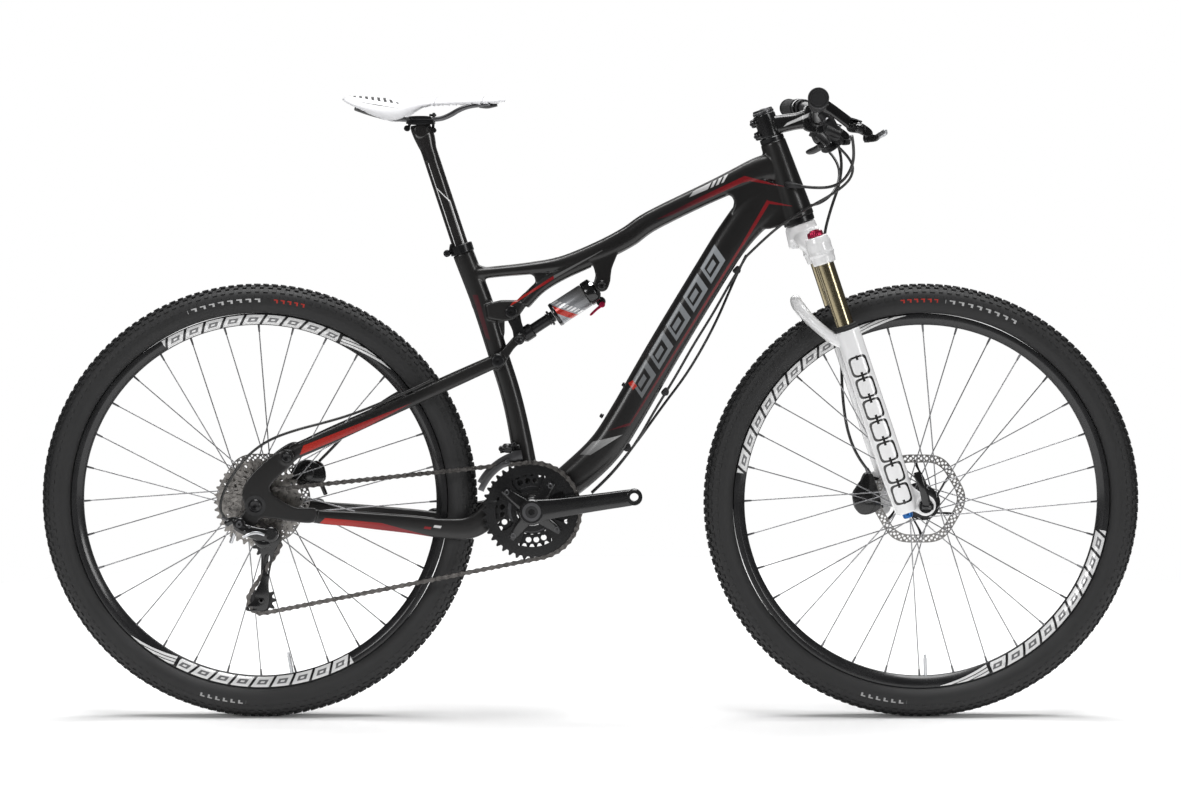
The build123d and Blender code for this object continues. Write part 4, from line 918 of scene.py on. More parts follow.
for side, name in ((-1, "right"), (1, "left")):
    tip = CRANK - Vector((cos(CRANK_TURN), 0, sin(CRANK_TURN))) * (CRANK_LENGTH * side)
    shapes = [tube_loft(crank_stations(tip, side), 4.5, 40, 10),
              lathe([(7.14, 0), (12.5, 0), (13.6, 1), (13.6, 14), (12.5, 15), (7.14, 15)],
                    at(tip, side * 71) if side > 0 else at(tip, -86), ACROSS, 40, closed=True),
              cross_rod(CRANK, *sorted((side * 62, side * 79)), 21, 2.0, 48)]
    arm = piece("crank_arm_" + name, joined(*shapes), "crank", GLOSS, ["crank_" + name],
                40.0)
    cutter = piece("cutter", cross_rod(tip, -120, 120, 7.2, 0.1, 40), None, GLOSS)
    cut = arm.modifiers.new("eye", "BOOLEAN")
    cut.object = cutter
    cut.solver = "EXACT"
    cut.use_self = True
    freeze(arm)
    bpy.data.objects.remove(cutter)
    shade(arm, 40.0)
    for number, y in enumerate((79, 80.5)):
        piece(f"crank_cap_{name}_{number}",
              lathe([(8.5 - number * 3, -0.6), (15.5 - number * 5, -0.6), (15.5 - number * 5, 0.6),
                     (8.5 - number * 3, 0.6)],
                    at(CRANK, side * (79.0 + number * 0.4)), ACROSS, 48, closed=True),
              "crank", DARK_STEEL if number == 0 else PLASTIC, [])
spider = []
for quarter in range(4):
    angle = CRANK_TURN + pi / 4 + quarter * pi / 2
    out = Vector((cos(angle), 0, sin(angle)))
    spider.append(tube_loft([(*(at(CRANK, -64) + out * 10), 26, 9), (*(at(CRANK, -62) + out * 26), 20, 9),
                             (*(at(CRANK, -60.5) + out * 44), 15, 5),
                             (*(at(CRANK, -60.2) + out * 59), 11, 3.4)],
                            3.2, 24, 6, across=Vector((-out.z, 0, out.x))))
spider.append(cross_rod(CRANK, -66, -52, 24, 2.0, 48))
spider.append(cross_rod(CRANK, -66, 66, 12, 0.5, 32))
piece("crank_spider", joined(*spider), "crank", GLOSS, [], 45.0)


# ---- chain ---------------------------------------------------------------------------------
def chain_route():
    """The chain's pitch line as (kind, data, length) pieces in order."""
    wheels = ((CRANK, 40, 1), (TENSION, 11, 1), (GUIDE, 11, -1), (REAR, 11, 1))
    centres = [Vector((c.x, c.z)) for c, _, _ in wheels]
    reach = [turn * HALF_PITCH / sin(pi / teeth) for _, teeth, turn in wheels]
    normals = []
    for i in range(4):
        j = (i + 1) % 4
        gap = centres[j] - centres[i]
        heading = atan2(gap.y, gap.x) - asin((reach[i] - reach[j]) / gap.length)
        normals.append(Vector((-sin(heading), cos(heading))))
    route = []
    for i, centre in enumerate(centres):
        arrive, leave = normals[i - 1], normals[i]
        start = atan2(arrive.y * reach[i], arrive.x * reach[i])
        end = atan2(leave.y * reach[i], leave.x * reach[i])
        clockwise = reach[i] > 0
        sweep = (start - end) % TAU if clockwise else -((end - start) % TAU)
        route.append(("arc", (centre, abs(reach[i]), start, -sweep), abs(reach[i] * sweep)))
        j = (i + 1) % 4
        a, b = centre + leave * reach[i], centres[j] + leave * reach[j]
        route.append(("line", (a, b), (b - a).length))
    return route


ROUTE = chain_route()
CHAIN_LENGTH = sum(part[2] for part in ROUTE)
LINKS = 2 * round(CHAIN_LENGTH / 12.7 / 2)


def chain_at(length):
    length %= CHAIN_LENGTH
    for number, (kind, data, span) in enumerate(ROUTE):
        if length <= span:
            share = length / span
            if kind == "line":
                return data[0].lerp(data[1], share), number
            centre, radius, start, sweep = data
            angle = start + sweep * share
            return centre + Vector((cos(angle), sin(angle))) * radius, number
        length -= span
    return ROUTE[0][1][0], 0


def link_plate(a, b, y0, y1, waist, boss):
    run = b - a
    side = Vector((-run.y, run.x)).normalized()
    ahead = run.normalized()
    outline = []
    for centre, way in ((a, -1), (b, 1)):
        for step in range(9):
            angle = radians(-115 + 230 * step / 8)
            outline.append(centre + (ahead * cos(angle) * way + side * sin(angle) * way) * boss)
        outline.append((a + b) / 2 + side * waist * way)
    return plate([tuple(p) for p in outline], y0, y1)


chain_groups = {}
for number in range(LINKS):
    a, _ = chain_at(CHAIN_LENGTH * number / LINKS)
    b, _ = chain_at(CHAIN_LENGTH * (number + 1) / LINKS)
    _, part = chain_at(CHAIN_LENGTH * (number + 0.5) / LINKS)
    outer = number % 2
    shapes = []
    for side in (-1, 1):
        low, high = (2.0, 2.85) if outer else (1.15, 1.95)
        y0, y1 = sorted((CHAIN_Y + side * low, CHAIN_Y + side * high))
        shapes.append(link_plate(a, b, y0, y1, 2.5 if outer else 2.7, 4.1 if outer else 3.9))
    pin = Vector((a.x, 0, a.y))
    shapes.append(cross_rod(pin, CHAIN_Y - 3.2, CHAIN_Y + 3.2, 1.8, 0.2, 10))
    shapes.append(cross_rod(pin, CHAIN_Y - 1.1, CHAIN_Y + 1.1, 3.8, 0.2, 14))
    key = part
    if part == 1:
        key = "lower_rear" if (a.x + b.x) / 2 < -430 else "lower_front"
    chain_groups.setdefault(key, []).extend(shapes)

for key, name, body in ((0, "chain_on_rings", "frame"),
                        (2, "chain_on_tension_pulley", "derailleur_cage_unit"),
                        (3, "chain_between_pulleys", "derailleur_cage_unit"),
                        (4, "chain_on_guide_pulley", "derailleur_cage_unit"),
                        (5, "chain_to_sprocket", "swingarm_unit"),
                        (6, "chain_on_sprocket", "swingarm_unit")):
    if key in chain_groups:
        piece(name, joined(*chain_groups[key]), body, CHAIN_STEEL, ["chain"] if key == 0 else [],
              40.0)
for key, name, a, b, start, end in (
        (7, "chain_upper_run", "frame", "swingarm_unit", (-150, CHAIN_Y, 430), (-540, CHAIN_Y, 392)),
        ("lower_front", "chain_lower_run_front", "frame", "swingarm_unit", (-120, CHAIN_Y, 275),
         (-430, CHAIN_Y, 215)),
        ("lower_rear", "chain_lower_run_rear", "swingarm_unit", "derailleur_cage_unit",
         (-432, CHAIN_Y, 210),
         (-545, CHAIN_Y, 190))):
    run = piece(name, joined(*chain_groups[key]), None, CHAIN_STEEL, [], 40.0)
    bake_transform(run)


def pulley_shape(centre):
    holes = [circle(centre.x, centre.z, 3.1, 16)] + [
        circle(*polar(centre, 10, TAU * i / 5), 2.4, 12) for i in range(5)]
    return joined(plate(toothed(centre, 11), CHAIN_Y - 1.0, CHAIN_Y + 1.0, holes),
                  lathe([(3.1, -2.6), (6.5, -2.6), (6.5, 2.6), (3.1, 2.6)], at(centre, CHAIN_Y), ACROSS, 24,
                        closed=True))


piece("upper_jockey_wheel", pulley_shape(GUIDE), "upper_jockey", PLASTIC, ["guide_pulley"],
      bevel=0.2)
piece("lower_jockey_wheel", pulley_shape(TENSION), "lower_jockey", PLASTIC, ["tension_pulley"],
      bevel=0.2)

cage_outline = rounded([(-531, 333), (-519, 322), (-519, 306), (-527, 290), (-534, 262), (-538, 235),
                        (-537, 212),
                        (-540, 196), (-546, 190), (-566, 188), (-576, 190), (-574, 197), (-562, 208),
                        (-560, 222),
                        (-550, 244), (-546, 270), (-552, 292), (-553, 306), (-545, 316)], 5)
cage_holes = [rounded([(-536, 282), (-543, 284), (-546, 268), (-541, 250), (-537, 262)], 4),
              circle(-568, 193.5, 3.2, 14)]
inner_outline = rounded([(-541, 313), (-531, 308), (-530, 296), (-538, 280), (-541, 240), (-539, 214),
                         (-541, 198),
                         (-552, 193), (-562, 198), (-563, 212), (-554, 232), (-551, 280), (-553, 300)], 5)
cage = [plate(cage_outline, CHAIN_Y - 5.2, CHAIN_Y - 3.6, cage_holes),
        plate(inner_outline, CHAIN_Y + 3.6, CHAIN_Y + 5.2)]
for pulley in (GUIDE, TENSION):
    cage.append(cross_rod(pulley, CHAIN_Y - 6.4, CHAIN_Y + 6.2, 3.0, 0.4, 20))
    cage.append(cross_rod(pulley, CHAIN_Y - 6.4, CHAIN_Y - 5.2, 5.0, 0.4, 24))
piece("derailleur_cage_plates", joined(*cage), "derailleur_cage_unit", GLOSS, ["derailleur_cage"],
      bevel=0.3)

knuckle = [cross_rod(HANGER, -91, -74.8, 11, 2.0, 40), cross_rod(CAGE_PIVOT, -91, -64.4, 13, 2.4, 40),
           tube_loft([(-590, -83, 336, 12, 16), (-572, -86, 328, 14, 20), (-552, -86, 322, 14, 22),
                      (-534, -84, 320, 13, 20)], 3.0, 28, 8),
           tube_loft([(-585, -84, 346, 8, 10), (-600, -84, 342, 9, 12), (-606, -84, 336, 7, 9)], 2.6, 24,
                     6),
           tube_loft([(-556, -86, 310, 8, 10), (-545, -87, 304, 9, 13), (-533, -86, 306, 8, 12)], 2.6, 24,
                     6)]
organic("derailleur_knuckles", knuckle, "swingarm_unit", GLOSS, ["rear_derailleur"], 0.9, 6)
hanger_details = [lathe([(2.4, 0), (5.2, 0), (5.8, 0.8), (5.8, 3), (2.4, 3)], at(HANGER, -94), ACROSS, 24,
                        closed=True),
                  cross_rod((-566, 0, 334), -94.5, -92, 2.6, 0.4, 16),
                  cross_rod((-574, 0, 326), -94.5, -90, 2.2, 0.4, 16),
                  rod((-600, -84, 342), (-612, -84.5, 350), 3.8, 3.2, 0.5, 20)]
piece("derailleur_screws", joined(*hanger_details), "swingarm_unit", DARK_STEEL, [])
arch = tube_loft([(-577, -92, 316, 2.5, 4), (-566, -93, 322, 2.5, 5), (-553, -93, 324, 2.5, 5),
                  (-541, -92, 320, 2.5, 4)], 2.6, 16, 6)
barrel = rod((-592, -86, 322), (-598, -86, 306), 3.4, 3.0, 0.5, 20)
piece("derailleur_bright_trim", joined(arch, barrel), "swingarm_unit", SILVER, [])

# Front derailleur: curved dark cage over the chain, black body behind.


def arc_plate(centre, low, high, start, end, y0, y1, steps=14):
    outer = [(centre.x + high * cos(radians(start + (end - start) * i / steps)),
              centre.z + high * sin(radians(start + (end - start) * i / steps))) for i in range(steps + 1)]
    inner = [(centre.x + low * cos(radians(end + (start - end) * i / steps)),
              centre.z + low * sin(radians(end + (start - end) * i / steps))) for i in range(steps + 1)]
    return plate(outer + inner, y0, y1)


piece("front_derailleur_cage",
      joined(arc_plate(CRANK, 86.5, 97, 114, 158, CHAIN_Y - 6.6, CHAIN_Y - 5.6),
             arc_plate(CRANK, 86, 103, 100, 152, CHAIN_Y + 5.6, CHAIN_Y + 6.8),
             arc_plate(CRANK, 95.8, 97, 116, 128, CHAIN_Y - 6.6, CHAIN_Y + 6.6)),
      "frame", DARK_STEEL, ["front_derailleur"], bevel=0.25)
changer = [tube_loft([(-140, -20, 461, 16, 12), (-138, -34, 459, 16, 13), (-138, -48, 457, 14, 9)], 3.2, 24,
                     5,
                     across=Vector((1, 0, 0))),
           tube_loft([(-152, -27, 454, 12, 8), (-128, -27, 460, 14, 10), (-118, -27, 462, 12, 8)], 3.0, 24,
                     5),
           cross_rod((-150, 0, 459), -44, -22, 4, 0.6, 20), cross_rod((-128, 0, 466), -40, -22, 4, 0.6, 20)]
organic("front_derailleur_body", changer, "frame", BLACK, [], 0.9, 4)

# ---- front triangle ------------------------------------------------------------------------
frame_shapes = [
    rod(steer(0), steer(134.8), 21.5, 28.0, 1.0, 64),
    tube_loft([(-92, 0, 362, 54, 46), (-62, 0, 383, 56, 52), (-27, 0, 408, 56, 56), (23, 0, 456, 54, 57),
               (60, 0, 512, 54, 57), (125, 0, 625, 54, 57), (207, 0, 761, 53, 57), (243, 0, 816, 50, 60),
               (278, 0, 856, 46, 66), (318, 0, 880, 38, 62)], 3.0, 56, 10),
    tube_loft([(-198, 0, 750, 34, 20), (-150, 0, 755, 35, 19), (-100, 0, 760, 36, 21),
               (-46, 0, 768, 37, 26),
               (14, 0, 788, 38, 34), (62, 0, 812, 38, 36), (105, 0, 841, 40, 35), (214, 0, 894, 42, 36),
               (283, 0, 924, 42, 46), (316, 0, 930, 36, 50)], 2.8, 48, 10),
    tube_loft([(-214, 0, 786, 36, 36), (-181, 0, 699, 35, 36), (-156, 0, 618, 34.5, 34),
               (-137, 0, 558, 35, 34),
               (-124, 0, 505, 36, 35), (-112, 0, 440, 38, 38), (-101, 0, 365, 40, 42)], 2.3, 48, 10),
    tube_loft([(-112, 0, 701, 40, 23), (-85, 0, 728, 38, 22), (-50, 0, 752, 37, 26), (-5, 0, 776, 37, 32)],
              2.8,
              40, 8),
    cross_rod(CRANK, -36.5, 36.5, 23, 1.5, 64),
    cross_rod(MAIN_PIVOT, -17.5, 17.5, 16, 1.5, 48),
    # fillets of the seat, strut and head junctions
    plate([(-200, 782), (-189, 766), (-176, 762), (-158, 762), (-160, 748), (-176, 742), (-182, 734),
           (-200, 740)],
          -13, 13),
    plate([(-182, 712), (-168, 706), (-158, 698), (-146, 694), (-128, 702), (-112, 718), (-106, 700),
           (-124, 674),
           (-172, 672)], -15.3, 15.3),
    plate([(222, 884.5), (231, 883), (238, 879.5), (241.5, 872), (240, 863), (234, 852), (262, 826),
           (300, 826),
           (346, 838), (330, 890), (280, 912), (244, 900)], -19, 19),
    plate([(-101, 751), (-94, 746), (-92, 738), (-97, 729), (-104, 722), (-84, 733), (-60, 750)], -16, 16),
    plate([(-176, 690), (-158, 694), (-146, 690), (-144.5, 676), (-144.5, 650), (-152, 626), (-164, 622)],
          -10, 10),
    plate([(270, 936), (288, 947), (294, 962), (308, 966), (318, 940), (310, 920), (290, 916)], -14, 14),
]
for side in (-1, 1):
    frame_shapes.append(plate([(-176, 700), (-150, 706), (-122, 706), (-113, 700), (-119, 682), (-132, 673),
                               (-148, 671), (-172, 676)], *sorted((side * 15, side * 22))))
    frame_shapes.append(plate(rounded([(-2, 776), (20, 784), (50, 804), (46, 786), (36, 760), (33, 738),
                                       (26, 723),
                                       (12, 722), (5, 733), (8, 748), (4, 764)], 5),
                              *sorted((side * 12, side * 17))))
organic("carbon_front_triangle", frame_shapes, "frame", frame_paint, ["front_triangle"],
        1.5, 12)
post_collar = [lathe([(14.2, -7), (19.2, -7), (20, -6), (20, 7), (19.2, 8), (14.2, 8)], POST_FOOT, POST_UP,
                     48,
                     closed=True),
               cross_rod(POST_FOOT + POST_UP * 1 + Vector((-24, 0, -8)), -9, 9, 6, 1.2, 28),
               cross_rod(POST_FOOT + POST_UP * 1 + Vector((-24, 0, -8)), -11.5, -9, 4, 0.6, 20),
               plate([(-236, 800), (-222, 806), (-222, 796), (-238, 786)], -8, 8)]
piece("seat_collar", joined(*post_collar), "frame", BLACK, ["seat_clamp"], bevel=0.4)

cups = [lathe([(12.1, SIDE * 36.6), (20.5, SIDE * 36.6), (21.5, SIDE * 37.4), (21.5, SIDE * 43.6),
               (20.6, SIDE * 45),
               (12.1, SIDE * 45)], at(CRANK, 0), ACROSS, 64, closed=True) for SIDE in (-1, 1)]
cups.append(lathe([(14.4, -8), (19.2, -8), (20.5, -6.6), (20.5, 0), (14.4, 0)], STEER_TOP, DOWN, 56,
                  closed=True))
cups.append(lathe([(14.4, 134.8), (26.5, 134.8), (26.5, 142.6), (25.4, 144.2), (14.4, 144.3)], STEER_TOP,
                  DOWN, 56,
                  closed=True))
piece("bearing_covers", joined(*cups), "frame", BLACK, ["bearing_cups"])


def pivot_bolt(point, y, side, radius, depth=3.0):
    """Domed bolt head with a socket, facing out from y."""
    return lathe([(2.4, -0.8), (2.4, depth - 0.8), (radius - 2.4, depth), (radius - 0.7, depth - 0.7),
                  (radius, depth - 1.6), (radius, -0.8)], at(point, y), Vector((0, side, 0)), 40,
                 closed=True)


bolts = [rod(Vector(p), Vector(p) + Vector((-0.8563, 0, 0.5165)) * 6, 4.2, 3.4, 0.8, 24)
         for p in ((58.6, 0, 562.5), (21.3, 0, 509.9))]
for side in (-1, 1):
    bolts.append(pivot_bolt(ROCKER_PIVOT, side * 22.4, side, 10.5))
    bolts.append(pivot_bolt(SHOCK_UPPER, side * 17.4, side, 8.0))
    bolts.append(pivot_bolt(MAIN_PIVOT, side * 34, side, 11))
bolts.append(cross_rod(MAIN_PIVOT, -34, 34, 6, 0.4))
bolts.append(cross_rod(ROCKER_PIVOT, -22, 22, 5, 0.4))
bolts.append(cross_rod(SHOCK_UPPER, -17, 17, 4, 0.4))
piece("frame_pivot_bolts", joined(*bolts), "frame", BLACK, ["frame_fittings"])
guides = []
for x, z in ((246, 757), (126, 552), (62, 458)):
    guides.append(plate(rounded([(x - 7, z - 1), (x + 1, z + 7), (x + 6, z + 2), (x + 4, z - 5),
                                 (x - 3, z - 6)], 4), -9.5, 9.5))
piece("cable_guides", joined(*guides), "frame", PLASTIC, [], bevel=0.6)

# ---- rear end ------------------------------------------------------------------------------
dropout = rounded([(-508, 461), (-530, 450), (-556, 428), (-575, 404), (-580, 384), (-575, 362),
                   (-584, 348),
                   (-590, 340), (-586, 332), (-562, 331), (-548, 345), (-530, 345), (-500, 341),
                   (-462, 339),
                   (-458, 362), (-490, 364), (-516, 376), (-534, 396), (-514, 420), (-493, 440),
                   (-494, 455)], 5)
half_swing = [
    plate(dropout, -74.5, -67.5),
    cross_rod(DROPOUT_PIVOT, -75.3, -67.4, 13, 1.0, 48),
    tube_loft([(-500, 0, 352, 7, 20), (-470, 0, 349.5, 9, 22), (-441, 0, 346, 11, 24),
               (-400, 0, 343, 14, 26),
               (-357, 0, 338.5, 15, 28.5), (-300, 0, 332.5, 15, 31), (-242, 0, 325.5, 16, 34),
               (-195, 0, 329, 15, 38),
               (-150, 0, 366, 13, 40), (-125, 0, 402, 11, 33)],
              3.2, 40, 10),
    cross_rod(MAIN_PIVOT, -33.2, -18.5, 16.5, 1.2, 48),
    rod((-160, -32, 386), (-160, 1, 386), 9, None, 0.5, 32),
]


def stay_shift(points):
    """Moves a loft made at y 0 sideways by y as a function of x."""
    def change(v):
        x = v.x
        for (x0, y0), (x1, y1) in zip(points, points[1:]):
            if x <= x1 or (x1, y1) == points[-1]:
                share = min(max((x - x0) / (x1 - x0), 0.0), 1.0)
                return Vector((v.x, v.y + y0 + (y1 - y0) * share, v.z))
        return v
    return change


SWING_LINE = [(-505, -70.5), (-460, -63), (-400, -53), (-300, -45.5), (-221, -41), (-182, -37),
              (-150, -30.5),
              (-125, -24)]
half_swing[2] = moved(half_swing[2], stay_shift(SWING_LINE))
organic("carbon_swingarm", [mirrored(joined(*half_swing))], "swingarm_unit", swing_paint, ["swingarm"],
        1.4, 8)
STAY_LINE = [(-505, -63.4), (-480, -62.5), (-440, -58), (-370, -48), (-300, -42), (-222, -34),
             (-158, -26.5),
             (-118, -22.3)]
half_stay = [
    moved(tube_loft([(-512, 0, 446, 6, 14), (-498, 0, 451.5, 7, 20), (-480, 0, 459.3, 8, 21),
                     (-440, 0, 477.4, 11, 23), (-370, 0, 509, 13, 22), (-300, 0, 540.6, 13, 21.5),
                     (-222, 0, 575.8, 13, 22), (-158, 0, 604.6, 10.5, 21)], 3.0, 36, 10),
          stay_shift(STAY_LINE)),
    cross_rod(DROPOUT_PIVOT, -67.0, -59.6, 11, 0.8, 40),
    cross_rod(STAY_BOLT, -31, -20, 12.5, 1.4, 40),
    plate(rounded([(-162, 592), (-150, 592), (-128, 626), (-110, 640), (-110, 648), (-116, 652),
                   (-124, 650),
                   (-150, 622), (-168, 612)], 5), -25, -20),
    rod((-226, -34, 574), (-226, 1, 574), 7, None, 0.5, 28),
]
organic("carbon_seatstays", [mirrored(joined(*half_stay))], "seatstay_unit", stay_paint, ["seatstays"],
                1.3, 5)
stay_bolts = []
for side in (-1, 1):
    stay_bolts.append(pivot_bolt(STAY_BOLT, side * 31.4, side, 11))
    stay_bolts.append(lathe([(5.9, -3), (9, -3), (9, 3), (5.9, 3)], at(SHOCK_LOWER, side * 22.5), ACROSS,
                            32, closed=True))
piece("seatstay_bolts", joined(*stay_bolts), "seatstay_unit", BLACK, [])
drop_bolts = []
for side in (-1, 1):
    drop_bolts.append(pivot_bolt(DROPOUT_PIVOT, side * 75.8, side, 8.5, 2.4))
piece("dropout_bolts", joined(*drop_bolts), "swingarm_unit", BLACK, [])

axle = [cross_rod(REAR, -74.6, 74.6, 7, 0.5)]
for side in (-1, 1):
    axle.append(lathe([(3, -0.2), (3, 3.4), (8, 4.5), (9.6, 3.8), (11, 2.2), (11, -0.2)],
                      at(REAR, side * 74.5), Vector((0, side, 0)), 36, closed=True))
piece("rear_through_axle", joined(*axle), "swingarm_unit", BLACK, ["rear_axle"])
chips = [lathe([(11.4, -0.1), (17.5, -0.1), (17.5, 0.9), (11.4, 0.9)], at(REAR, side * 74.5),
               Vector((0, side, 0)), 48,
               closed=True) for side in (-1, 1)]
piece("dropout_inserts", joined(*chips), "swingarm_unit", PLASTIC, [])


def caliper_shapes(outline, y0, y1, slot_y, centre):
    return [plate(rounded(outline, 4), y0, slot_y - 1.8), plate(rounded(outline, 4), slot_y + 1.8, y1)]


rear_outline = [(-510, 400), (-500, 392), (-472, 388), (-455, 398), (-458, 420), (-474, 430), (-494, 430),
                (-508, 416)]
rear_cal = caliper_shapes(rear_outline, 39, 60, 51.0, REAR)
rear_cal += [cross_rod((-482, 0, 410), 60, 63.5, 12, 1.2, 32),
             cross_rod((-482, 0, 410), 35.5, 39, 12, 1.2, 32),
             plate(rounded([(-470, 392), (-452, 398), (-456, 424), (-472, 428)], 4), 47, 55),
             rod((-500, 50, 398), (-532, 56, 384), 4, 3.6, 0.6, 20),
             rod((-462, 50, 398), (-452, 54, 372), 4, 3.6, 0.6, 20)]
piece("rear_brake_caliper", joined(*rear_cal), "swingarm_unit", GLOSS, ["rear_caliper"],
      bevel=0.8)

rocker = [cross_rod(ROCKER_PIVOT, -15.4, 15.4, 11, 1.0, 40), cross_rod(SHOCK_LOWER, -28, 28, 3, 0.3, 20)]
for side in (-1, 1):
    rocker.append(plate(rounded([(-142, 694), (-132, 700), (-121, 692), (-116, 668), (-109, 646),
                                 (-113, 635),
                                 (-121, 632), (-128, 637), (-131, 656), (-140, 676)], 5),
                        *sorted((side * 11.5, side * 15.4))))
    rocker.append(pivot_bolt(SHOCK_LOWER, side * 26.2, side, 8.8))
piece("rocker_plates", joined(*rocker), "rocker", BLACK, ["rocker_link"], bevel=0.4)

# ---- shock ---------------------------------------------------------------------------------
SHOCK_RUN = (SHOCK_LOWER - SHOCK_UPPER).normalized()
can_look = surface("shock_can_paint", rgb(0.2, 0.205, 0.21), 0.3, 0.3, 0.3, (600.0, 0.05), 0.1)
x, y, z = can_look.coordinates()
along = can_look.fma(z, SHOCK_RUN.z, -(SHOCK_UPPER.x * SHOCK_RUN.x + SHOCK_UPPER.z * SHOCK_RUN.z) * MM)
along = can_look.fma(x, SHOCK_RUN.x, along)
lift = can_look.fma(z, -SHOCK_RUN.x, (SHOCK_UPPER.z * SHOCK_RUN.x - SHOCK_UPPER.x * SHOCK_RUN.z) * MM)
lift = can_look.fma(x, SHOCK_RUN.z, lift)
lean = can_look.fma(lift, -0.75, along)
tone = can_look.blend(can_look.ramp(lean, 0.03, 0.075), rgb(0.1), rgb(0.3, 0.31, 0.33))
band = can_look.mul(can_look.ramp(lean, 0.0755, 0.0765), can_look.ramp(lean, 0.0885, 0.0875))
tone = can_look.blend(band, tone, ORANGE_PAINT)
pale = can_look.mul(can_look.ramp(lean, 0.0625, 0.063), can_look.ramp(lean, 0.0735, 0.073))
cells = can_look.fract(can_look.mul(lift, 190.0))
pale = can_look.mul(pale, can_look.mul(can_look.ramp(cells, 0.2, 0.25),
                                                     can_look.ramp(cells, 0.8, 0.75)))
tone = can_look.blend(pale, tone, rgb(0.75))
can_look.set(can_look.shader.inputs["Base Color"], tone)


def on_shock(profile, steps=56):
    return lathe(profile, SHOCK_UPPER, SHOCK_RUN, steps, closed=True)


piece("shock_air_can",
      on_shock([(17, 32), (19.6, 32), (20.6, 33), (20.6, 88), (19.8, 90), (18, 94.5), (9.6, 94.5),
                                 (9.6, 90), (17, 88)]), "shock_can", can_look, ["shock_body"])
head = [on_shock([(2, 8), (11, 9), (17, 13), (21, 15), (21.6, 17), (21.6, 29), (20.6, 31.4), (2, 31.4)]),
        cross_rod(SHOCK_UPPER, -11.4, 11.4, 10, 1.2, 40),
        cross_rod((17.5, 0, 704), -2.6, 9, 8, 1.2, 32),
        on_shock([(17.5, 88.5), (20.9, 88.5), (21.4, 89.5), (21.4, 92.5), (20.6, 94.8), (17.5, 94.8)])]
piece("shock_head", joined(*head), "shock_can", GLOSS, [], bevel=0.3)
valve_end = SHOCK_UPPER + SHOCK_RUN * 22
piece("shock_trim",
      joined(*[rod(valve_end + Vector((0, s * 14, 12)), valve_end + Vector((0, s * 17.4, 14.5)), 4.4, 4.0,
                   0.6, 24)
                             for s in (-1, 1)]), "shock_can", SILVER, [])
shaft = [on_shock([(2, 96), (9.5, 96), (9.5, 160), (2, 160)], 40),
         on_shock([(9.5, 101), (13, 101), (13.6, 102), (13.6, 104.5), (9.5, 104.5)], 40),
         on_shock([(2, 138), (11.5, 138), (13, 140), (13, 156), (10, 160), (2, 160)], 40)]
for side in (-1, 1):
    shaft.append(plate(rounded([(-128, 640), (-118, 632), (-110, 640), (-100, 650), (-103, 660),
                                (-112, 655), (-124, 652)], 4),
                       *sorted((side * 6.2, side * 10.8)),
                       [circle(SHOCK_LOWER.x, SHOCK_LOWER.z, 5.85, 24)]))
piece("shock_rod_and_eye", joined(*shaft), "shock_rod", BLACK, ["shock_shaft"])
piece("shock_o_ring", on_shock([(9.5, 106), (11, 106.4), (11, 107.4), (9.5, 107.8)], 32), "shock_rod",
      RUBBER, [])
lever_root = Vector((19.6, 0, 699.2))
piece("shock_lock_lever",
      joined(cross_rod(lever_root, -9, -3, 5, 0.8, 28),
             plate(rounded([(22, 703), (24, 699), (12, 690), (2, 681), (-1, 683), (10, 694)], 5), -8,
                   -4.4)),
      "shock_lockout", RED, ["shock_lockout_lever"], bevel=0.4)

# ---- fork ----------------------------------------------------------------------------------
LEG_AHEAD = 14.3
crown = []
for side in (-1, 1):
    y = side * 65
    crown.append(rod(steer(171.8, LEG_AHEAD, y), steer(184, LEG_AHEAD, y), 19, 21.2, 1.6, 48))
    crown.append(rod(steer(182, LEG_AHEAD, y), steer(218.5, LEG_AHEAD, y), 21.2, 19.6, 1.0, 48))
    crown.append(rod(steer(198, LEG_AHEAD, y), steer(204, LEG_AHEAD, y), 21.8, 21.8, 1.4, 48))
crown.append(tube_loft([(*steer(188, 13, -66), 34, 26), (*steer(187, 12, -50), 38, 27),
                        (*steer(173, 6, -28), 46, 28),
                        (*steer(166, 4, 0), 50, 28), (*steer(173, 6, 28), 46, 28),
                        (*steer(187, 12, 50), 38, 27),
                        (*steer(188, 13, 66), 34, 26)], 2.8, 40, 8, across=AHEAD))
crown.append(rod(steer(145, 0), steer(168, 0), 25.5, 27, 1.0, 48))
crown.append(rod(steer(150, -14), steer(182, -22), 13, 9, 2.0, 32))
organic("fork_crown_casting", crown, "steering_unit", WHITE, ["fork_crown"], 1.2, 8)
piece("steerer_tube", rod(steer(-50), steer(150), 14.2, None, 0.5, 48), "steering_unit", DARK_STEEL, [])
stanchion_tubes = [rod(steer(210, LEG_AHEAD, s * 65), steer(456, LEG_AHEAD, s * 65), 15, None, 0.5,
                       56) for s in (-1, 1)]
piece("fork_stanchions", joined(*stanchion_tubes), "steering_unit", BRONZE, ["stanchions"])
dome = LEG_AHEAD
knob_base = steer(171.8, dome, -65)


def lobed(v):
    """Draws the knob's rim in between its eight finger lobes."""
    rise = (v - knob_base).dot(DOWN)
    out = v - knob_base - DOWN * rise
    turn = atan2(out.y, out.dot(AHEAD))
    return knob_base + DOWN * rise + out * (0.955 + 0.045 * cos(turn * 8))


